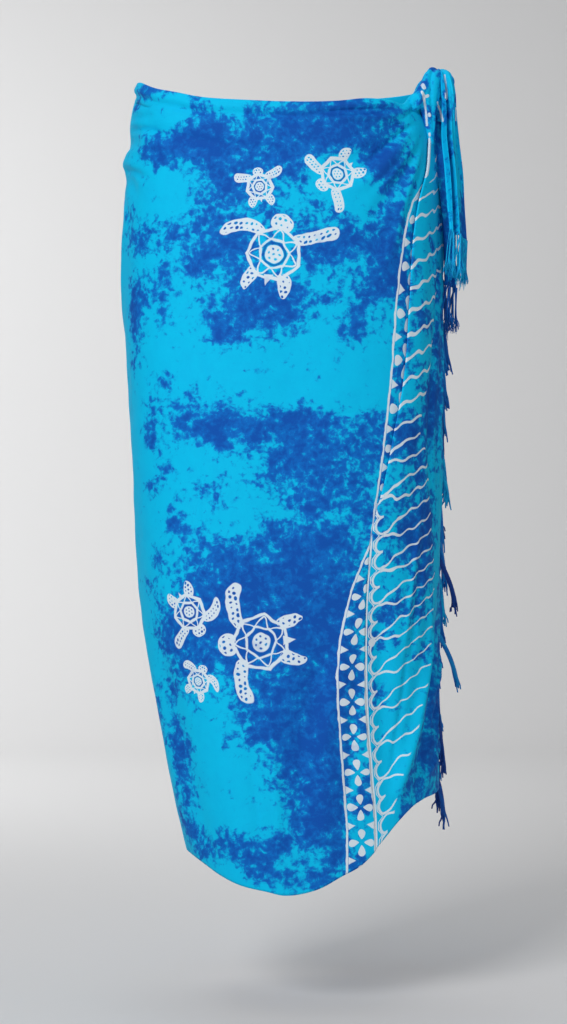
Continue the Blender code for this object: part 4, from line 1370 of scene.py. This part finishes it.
def grid_faces(columns, rows):
    index = np.arange(columns * rows).reshape(columns, rows)
    return np.stack([index[:-1, :-1], index[:-1, 1:], index[1:, 1:], index[1:, :-1]], axis=-1).reshape(-1, 4)


def grid_uv(columns, rows):
    """An even grid over the whole picture, just clear of its edges."""
    u, v = np.meshgrid(np.linspace(0.002, 0.998, columns), np.linspace(0.998, 0.002, rows), indexing="ij")
    return np.stack([u, v], axis=-1).reshape(-1, 2)


def add_sheet(name, points, fields, material):
    """A thin sheet of cloth through a grid of points, its thickness inwards."""
    columns, rows = points.shape[:2]
    flat = {key: value.reshape(-1, 3) for key, value in fields.items()}
    faces, uv = grid_faces(columns, rows), grid_uv(columns, rows)
    obj = add_mesh(name, points.reshape(-1, 3), faces, material, flat, uv)
    shell = obj.modifiers.new("thickness", "SOLIDIFY")
    shell.thickness = CLOTH_THICKNESS
    shell.offset = -1.0
    return obj


def belongs(obj, nodes):
    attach(obj, "root")
    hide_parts(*nodes)
    return obj


def cloth_fields(angle, height):
    """The dye and where each point lies on the cloth."""
    return {
        "cloth": field_of(arc_length(angle, height), height),
        "dye": field_of(dye_and_shade_depth(angle, height)),
    }


def left_seam(height):
    return LEFT_SEAM + 0.0 * height


def waist_edge(angle):
    return read(WAIST_CURVE, angle)


def add_front_cloth():
    """The front, from the left hip to the border's fold and a little way on under it."""
    def end(height):
        hidden = read(BORDER_CURVE, height, 2) * smooth_step(PLEAT_OPENS - 0.05, PLEAT_OPENS, height)
        return read(BORDER_CURVE, height, 0) + hidden

    angle, height = even_grid("front_cloth", left_seam, end, waist_edge)
    below = height[:, :1] - height
    out = front_layer(angle, height) + surface_detail(angle, height) + waist_roll(angle, below)
    angle, height, out = add_turned_edge(angle, height, out)
    fields = cloth_fields(angle, height)
    fields["border"] = border_place(angle, height, False)
    fields.update(zip(TURTLE_FIELDS, turtle_places(angle, height)))
    material = cloth_material("front_print", bordered=True, turtles=True)
    front = add_sheet("front_cloth", tube(angle, height, out), fields, material)
    return belongs(front, ["front_wrap"])


def add_back_cloth():
    angle, height = even_grid("back_cloth", back_end, left_seam, waist_edge)
    below = height[:, :1] - height
    out = surface_detail(angle, height) + waist_roll(angle, below)
    angle, height, out = add_turned_edge(angle, height, out)
    fields = cloth_fields(angle, height)
    fields.update(zip(TURTLE_FIELDS, turtle_places(angle, height)))
    material = cloth_material("back_print", turtles=True)
    back = add_sheet("back_cloth", tube(angle, height, out), fields, material)
    return belongs(back, ["back_left", "back_right"])


def border_top(angle):
    return OUTER_END_TOP - OUTER_END_DROP * smooth_step(78.0, 94.0, angle)


def add_pleat_fold(angle, height, out):
    """The same columns, after new ones that carry the cloth round the fold from the layer under it."""
    closed = pleat_closed(height[:1])
    turns = np.radians(np.linspace(180.0, 30.0, 6))[:, None]
    runs = np.array([1.0, 0.66, 0.33])[:, None] * PLEAT_RETURN
    added = turns.size + runs.size
    radius = PLEAT_RADIUS * closed
    fold_angle = angle[:1] - radius * np.sin(turns) / ARC_PER_DEGREE
    fold_out = out[:1] - radius * (1 - np.cos(turns))
    back_angle = angle[:1] + runs * closed / ARC_PER_DEGREE
    back_out = out[:1] - 2 * radius + 0.0 * runs
    angles = np.concatenate([back_angle, fold_angle, angle], axis=0)
    heights = np.concatenate([np.repeat(height[:1], added, axis=0), height], axis=0)
    outs = np.concatenate([back_out, fold_out, out], axis=0)
    return angles, heights, outs


def add_border_cloth():
    """The outer end: its left edge is the fold of the pleat, where the cloth turns under itself."""
    def fold(height):
        return read(BORDER_CURVE, height, 0)

    def end(height):
        return read(BORDER_CURVE, height, 1)

    angle, height = even_grid("border_cloth", fold, end, border_top)
    out = pleat_layer(angle, height) + surface_detail(angle, height)
    angle, height, out = add_pleat_fold(angle, height, out)
    fields = cloth_fields(angle, height)
    fields["border"] = border_place(angle, height, True)
    material = cloth_material("border_print", bordered=True)
    border = add_sheet("border_cloth", tube(angle, height, out), fields, material)
    return belongs(border, ["border_panel"])


def add_under_cloth():
    """The inner end, which runs on from the back under the front and reaches further round low down."""
    def inner_edge(height):
        return UNDER_LAP_START - UNDER_LAP_FLARE * np.maximum(0.0, -height / UNDER_LAP_HEIGHT) ** 0.8

    def back(height):
        return BACK_END + 0.0 * height

    def top(angle):
        return UNDER_LAP_TOP + 0.0 * angle

    angle, height = even_grid("under_cloth", inner_edge, back, top)
    joined = smooth_step(BACK_END - 13.0, BACK_END - 0.6, angle)
    out = UNDER_LAP_DEPTH * (joined - 1.0) + joined * surface_detail(angle, height)
    out = out + (1 - joined) * 0.0010 * unevenness(arc_length(angle, height), 0.4 * height, 0.09, 8)
    fields = cloth_fields(angle, height)
    under = add_sheet("under_cloth", tube(angle, height, out), fields, cloth_material("under_dye"))
    return belongs(under, ["under_lap"])


def stroke_reach(points):
    """How far each point lies from the edge of the nearest brush stroke, as seen from the front."""
    reach = np.full(points.shape[:-1], 1.0)
    seen = points[..., None, :][..., (0, 2)]
    for half_width, path in STROKES:
        away = np.linalg.norm(seen - dense_path(path), axis=-1).min(axis=-1)
        reach = np.minimum(reach, away - half_width * MILLIMETRE)
    return reach + 4.0 * np.maximum(points[..., 1] - STROKES_END_AT, 0.0)


def swept_frame(points):
    """Two directions across a path at each point, that turn as little as they can."""
    along = np.gradient(points, axis=0)
    along /= np.linalg.norm(along, axis=1)[:, None]
    side = np.cross(along[0], (0.0, 0.0, 1.0) if abs(along[0][2]) < 0.9 else (0.0, 1.0, 0.0))
    frames = []
    for direction in along:
        side = side - direction * side.dot(direction)
        side /= np.linalg.norm(side)
        frames.append((side, np.cross(direction, side)))
    return frames


def bundle(table, rings, sides, grooves, seed):
    """A gathered bundle of cloth along a path: its vertices and faces, with grooves of uneven depth."""
    _, rows = dense(table, rings)
    centres, radii = rows[:, :3], rows[:, 3]
    turn = np.linspace(0.0, 2 * math.pi, sides, endpoint=False)
    vertices = []
    for ring, (centre, radius, (u, v)) in enumerate(zip(centres, radii, swept_frame(centres))):
        sweep = ring / rings
        wander = unevenness(np.cos(turn) / 2, np.sin(turn) / 2 + 1.5 * sweep, 0.9, seed)
        ridge = np.abs(np.sin(grooves * turn / 2 + 1.8 * wander + 2.4 * sweep)) ** 0.55
        size = radius * (0.74 + 0.40 * ridge * (0.80 + 0.55 * wander))
        vertices.append(centre + size[:, None] * (np.cos(turn)[:, None] * u + np.sin(turn)[:, None] * v))
    vertices = np.concatenate(vertices)
    index = np.arange(rings * sides).reshape(rings, sides)
    after = np.roll(index, -1, axis=1)
    faces = np.stack([index[:-1], after[:-1], after[1:], index[1:]], axis=-1).reshape(-1, 4).tolist()
    faces.append(index[0][::-1].tolist())
    faces.append(index[-1].tolist())
    return vertices, faces


def mesh_points(mesh):
    points = np.empty(len(mesh.vertices) * 3)
    mesh.vertices.foreach_get("co", points)
    return points.reshape(-1, 3)


def set_field(mesh, name, values):
    layer = mesh.attributes.new(name, "FLOAT_VECTOR", "POINT")
    layer.data.foreach_set("vector", np.asarray(values, dtype=np.float32).ravel())


def apply_modifiers(obj):
    graph = bpy.context.evaluated_depsgraph_get()
    mesh = bpy.data.meshes.new_from_object(obj.evaluated_get(graph))
    obj.modifiers.clear()
    obj.data = mesh


def knot_shape():
    """The vertices and faces of all the knot's bundles."""
    vertices, faces, start = [], [], 0
    for table, rings, grooves, seed in KNOT_BUNDLES:
        own_vertices, own_faces = bundle(table, rings, KNOT_SIDES, grooves, seed)
        faces.extend([corner + start for corner in face] for face in own_faces)
        vertices.append(own_vertices)
        start += len(own_vertices)
    return np.concatenate(vertices), faces


def add_knot_cloth():
    """The tied corners: a gathered loop, the folds that run into it and the band over it, grown together."""
    vertices, faces = knot_shape()
    mesh = bpy.data.meshes.new("knot_cloth")
    mesh.from_pydata(vertices.tolist(), [], faces)
    knot = bpy.data.objects.new("knot_cloth", mesh)
    bpy.context.scene.collection.objects.link(knot)
    fuse = knot.modifiers.new("fuse", "REMESH")
    fuse.mode = "VOXEL"
    fuse.voxel_size = KNOT_VOXEL
    soften = knot.modifiers.new("soften", "SMOOTH")
    soften.factor = 0.5
    soften.iterations = 3
    apply_modifiers(knot)
    points = mesh_points(knot.data)
    depth = 0.42 + 0.35 * unevenness(points[:, 0] * 2 + points[:, 1], points[:, 2], 0.03, 31)
    set_field(knot.data, "cloth", points)
    set_field(knot.data, "dye", field_of(depth))
    set_field(knot.data, "brush", field_of(stroke_reach(points)))
    knot.data.shade_smooth()
    knot.data.materials.clear()
    knot.data.materials.append(cloth_material("knot_print", brushed=True))
    return belongs(knot, ["knot"])


def tail_points(name, across, down):
    """A hanging tail, whose pleats are an uneven wave across it."""
    curve = dense(TAILS[name])
    x, y, z, half_width, depth = (read(curve, down, column) for column in range(5))
    turn = math.radians(TAIL_TURN[name])
    wander = unevenness(across * 0.5, down * 0.8, 0.6, 41)
    uneven = across + 0.22 * np.sin(2.6 * across + 1.0 + 0.8 * down)
    wave = np.sin(math.pi * TAIL_PLEATS[name] * (uneven + 1) + 1.2 * down + 1.1 * wander)
    fine = np.sin(math.pi * TAIL_PLEATS[name] * 2.3 * (uneven + 1) - 1.7 * down + 2.0 * wander)
    sideways = half_width * (across + 0.10 * np.sin(math.pi * across) * (1 - down))
    forward = depth * (wave + 0.30 * fine)
    return np.stack([
        x + sideways * math.cos(turn) + forward * math.sin(turn),
        y + sideways * math.sin(turn) - forward * math.cos(turn),
        z - 0.006 * across * down,
    ], axis=-1)


def add_tail_cloth(name):
    columns, rows = GRIDS[f"{name}_cloth"]
    across, down = np.meshgrid(np.linspace(-1.0, 1.0, columns), np.linspace(0.0, 1.0, rows), indexing="ij")
    points = tail_points(name, across, down)
    depth = 0.30 + 0.40 * unevenness(across * 0.3, down * 0.9, 0.5, 51 + len(name))
    depth = depth + 0.45 * smooth_step(0.5, 0.95, down) * smooth_step(-0.2, 0.6, across)
    # The inner tail's added dark dye is painted shade, for the shadow of the outer tail over it
    fields = {
        "cloth": field_of(across * 0.03 + TAIL_DYE_PLACE[name], down * 0.17),
        "dye": field_of(depth + TAIL_PAINTED_SHADE[name]),
        "brush": field_of(stroke_reach(points)),
    }
    tail = add_sheet(f"{name}_cloth", points, fields, cloth_material(f"{name}_print", brushed=True))
    return belongs(tail, [name])


def yarn_material():
    material, tree, shader = new_material("yarn", 0.8, 0.2)
    shade = split(tree, attribute(tree, "shade"))[0]
    colour = blend(tree, ramp(shade, 0.0, 0.5), DYES["light"], DYES["middle"])
    colour = blend(tree, ramp(shade, 0.5, 1.0), colour, DYES["dark_yarn"])
    tree.links.new(colour, shader.inputs["Base Color"])
    return material


def add_yarns(name, paths, radii, shades, material):
    """Yarns as thin tubes along rows of points, with a radius for each point and a shade for each yarn."""
    count, steps = paths.shape[:2]
    along = np.gradient(paths, axis=1)
    along /= np.linalg.norm(along, axis=2)[..., None]
    side = np.cross(along, (0.31, 0.87, 0.38))
    side /= np.linalg.norm(side, axis=2)[..., None]
    other = np.cross(along, side)
    turns = np.linspace(0.0, 2 * math.pi, YARN_SIDES, endpoint=False)
    rings = [paths + radii[..., None] * (side * math.cos(t) + other * math.sin(t)) for t in turns]
    vertices = np.stack(rings, axis=2).reshape(-1, 3)
    index = np.arange(count * steps * YARN_SIDES).reshape(count, steps, YARN_SIDES)
    after = np.roll(index, -1, axis=2)
    walls = np.stack([index[:, :-1], after[:, :-1], after[:, 1:], index[:, 1:]], axis=-1).reshape(-1, 4)
    caps = np.concatenate([index[:, 0, ::-1], index[:, -1]])
    shade = np.repeat(shades, steps * YARN_SIDES)
    fields = {"shade": np.stack([shade, shade, shade], axis=-1)}
    return add_mesh(name, vertices, np.concatenate([walls, caps]), material, fields)


def tuft(root, heading, facing, length, size, rng, curl):
    """The yarns of one tuft: twisted together as a cord, then loose: their points and radii."""
    t = np.linspace(0.0, 1.0, TUFT_STEPS)[None, :]
    phase = (np.arange(TUFT_YARNS) * 2 * math.pi / TUFT_YARNS)[:, None]
    loose = smooth_step(TUFT_LOOSENS, 1.0, t)
    spiral = phase + 9.0 * t * (1 - 0.4 * loose) + 2.0 * curl * t
    spread = size * (0.42 + 0.8 * loose * rng.uniform(0.5, 1.3, (TUFT_YARNS, 1)))
    side = np.cross(heading, facing)
    side = side / np.linalg.norm(side)
    onward = length * (0.30 * np.sin(1.4 * t) + 0.1 * curl * t**2)
    middle = root[None, None, :] + heading * onward[..., None]
    bend = rng.uniform(0.0, 1.0) * 0.16 * (size > 0.001) + 0.34 * curl
    drop = length * t ** (1.25 - 0.25 * abs(curl))
    middle = middle + np.array((0.0, 0.0, -1.0)) * drop[..., None]
    middle = middle + facing * (length * bend * (0.6 * np.sin(2.4 * t) + 0.7 * t**2))[..., None]
    middle = middle + side * (length * rng.uniform(-0.07, 0.07) * t**1.5)[..., None]
    paths = middle + side * (spread * np.cos(spiral))[..., None]
    paths = paths + facing * (spread * np.sin(spiral))[..., None]
    ends = rng.uniform(-1, 1, (TUFT_YARNS, 1, 3)) * (0.08 * length * loose**2)[..., None]
    paths = paths + ends
    radii = size * 0.50 * (1 - 0.50 * loose) + 0.0 * paths[..., 0]
    return paths, radii


def add_fringe(name, tufts, node, material):
    """One piece of all the tufts, each given as its yarns' points, radii and shades."""
    paths, radii, shades = (np.concatenate(parts) for parts in zip(*tufts))
    return belongs(add_yarns(name, paths, radii, shades, material), [node])


def edge_tuft(height, rng):
    """A tuft that starts at the outer end of the cloth, and at times curls away from it."""
    angle = float(read(BORDER_CURVE, height, 1))
    detail = surface_detail(np.array([angle]), np.array([height]))
    out = LAYER_STEP - 0.0006 + float(detail[0])
    root = tube(angle, height, out)
    heading = tube(angle + 1.0, height, out) - root
    heading /= np.linalg.norm(heading)
    facing = np.array((heading[1], -heading[0], 0.0))
    length = rng.uniform(*EDGE_TUFT_LENGTH)
    curl = rng.uniform(-0.2, 1.0) ** 3
    reach = rng.uniform(1.0, 2.5)
    yarns, sizes = tuft(root, heading * reach, facing, length, EDGE_TUFT_SIZE, rng, curl)
    shades = np.clip(rng.uniform(0.2, 1.1) + rng.uniform(-0.12, 0.12, len(yarns)), 0, 1)
    return yarns, sizes, shades


def add_edge_fringe(material):
    rng = np.random.default_rng(7)
    lowest = float(read(HEM_CURVE, 91.0)) + 0.004
    heights = np.linspace(OUTER_END_TOP - 0.022, lowest, EDGE_TUFTS)
    tufts = [edge_tuft(height, rng) for height in heights]
    return add_fringe("edge_fringe", tufts, "fringe_edge", material)


def tail_tuft(name, foot, along, lean, rng):
    """A tuft at the lower end of a tail, leaning away from the middle of it."""
    along = along / np.linalg.norm(along)
    facing = np.cross(along, (0.0, 0.0, -1.0))
    facing /= np.linalg.norm(facing)
    root = foot + np.array((0.0, 0.0, 0.002)) - facing * CLOTH_THICKNESS / 2
    length = TAIL_FRINGE[name] * rng.uniform(0.8, 1.0)
    curl = rng.uniform(-0.2, 0.2)
    yarns, sizes = tuft(root, along * 0.4 * lean, facing, length, TAIL_TUFT_SIZE, rng, curl)
    shades = np.clip(TAIL_FRINGE_SHADE[name] + rng.uniform(-0.25, 0.25, len(yarns)), 0, 1)
    return yarns, sizes, shades


def add_tail_fringe(name, material):
    rng = np.random.default_rng(11 + len(name))
    count = TAIL_TUFTS[name]
    across = np.linspace(-0.96, 0.96, count)
    feet = tail_points(name, across, np.ones(count))
    places = zip(feet, np.gradient(feet, axis=0), across)
    tufts = [tail_tuft(name, foot, along, lean, rng) for foot, along, lean in places]
    return add_fringe(f"{name}_fringe", tufts, f"fringe_{name}", material)


def add_camera():
    data = bpy.data.cameras.new("camera")
    camera = bpy.data.objects.new("camera", data)
    bpy.context.scene.collection.objects.link(camera)
    camera.location = CAMERA_PLACE
    camera.rotation_euler = (math.pi / 2, 0.0, 0.0)
    data.sensor_fit = "VERTICAL"
    data.sensor_height = SENSOR_HEIGHT
    data.lens = data.sensor_height * -CAMERA_PLACE[1] / FRAME_HEIGHT
    bpy.context.scene.camera = camera


def add_light(name, place, target, size, power):
    data = bpy.data.lights.new(name, "AREA")
    data.shape = "RECTANGLE"
    data.size, data.size_y = size
    data.energy = power
    light = bpy.data.objects.new(name, data)
    bpy.context.scene.collection.objects.link(light)
    light.location = place
    aim = np.array(target) - np.array(place)
    tilt = math.acos(-aim[2] / np.linalg.norm(aim))
    light.rotation_euler = (tilt, 0.0, math.atan2(aim[1], aim[0]) - math.pi / 2)


def backdrop_profile():
    """Depths and heights of the sweep from the front of the floor to the top of the wall."""
    profile = [(FLOOR_START, FLOOR_HEIGHT)]
    for t in np.radians(np.linspace(0.0, 90.0, 24)):
        depth = WALL_PLACE - SWEEP_RADIUS + SWEEP_RADIUS * math.sin(t)
        profile.append((depth, FLOOR_HEIGHT + SWEEP_RADIUS * (1 - math.cos(t))))
    profile.append((WALL_PLACE, WALL_TOP))
    return profile


def add_backdrop():
    """Floor and wall as one soft sweep of pale grey paper."""
    profile = backdrop_profile()
    xs = np.linspace(-BACKDROP_HALF_WIDTH, BACKDROP_HALF_WIDTH, 3)
    vertices = [(x, y, z) for x in xs for y, z in profile]
    material, _, shader = new_material("backdrop", 0.85, 0.1)
    shader.inputs["Base Color"].default_value = BACKDROP_GREY
    sweep = add_mesh("backdrop", vertices, grid_faces(len(xs), len(profile)), material)


def add_lights():
    bpy.context.scene.view_settings.view_transform = "Standard"
    world = bpy.data.worlds.new("room")
    bpy.context.scene.world = world
    world.use_nodes = True
    background = world.node_tree.nodes["Background"]
    background.inputs["Color"].default_value = ROOM_COLOUR
    background.inputs["Strength"].default_value = ROOM_STRENGTH
    for lamp in LAMPS:
        add_light(*lamp)


def main():
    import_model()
    add_camera()
    add_backdrop()
    add_lights()
    front = add_front_cloth()
    back = add_back_cloth()
    border = add_border_cloth()
    under = add_under_cloth()
    add_knot_cloth()
    yarn = yarn_material()
    outer = add_tail_cloth("tail_outer")
    inner = add_tail_cloth("tail_inner")
    edge = add_edge_fringe(yarn)
    outer_fringe = add_tail_fringe("tail_outer", yarn)
    inner_fringe = add_tail_fringe("tail_inner", yarn)


main()
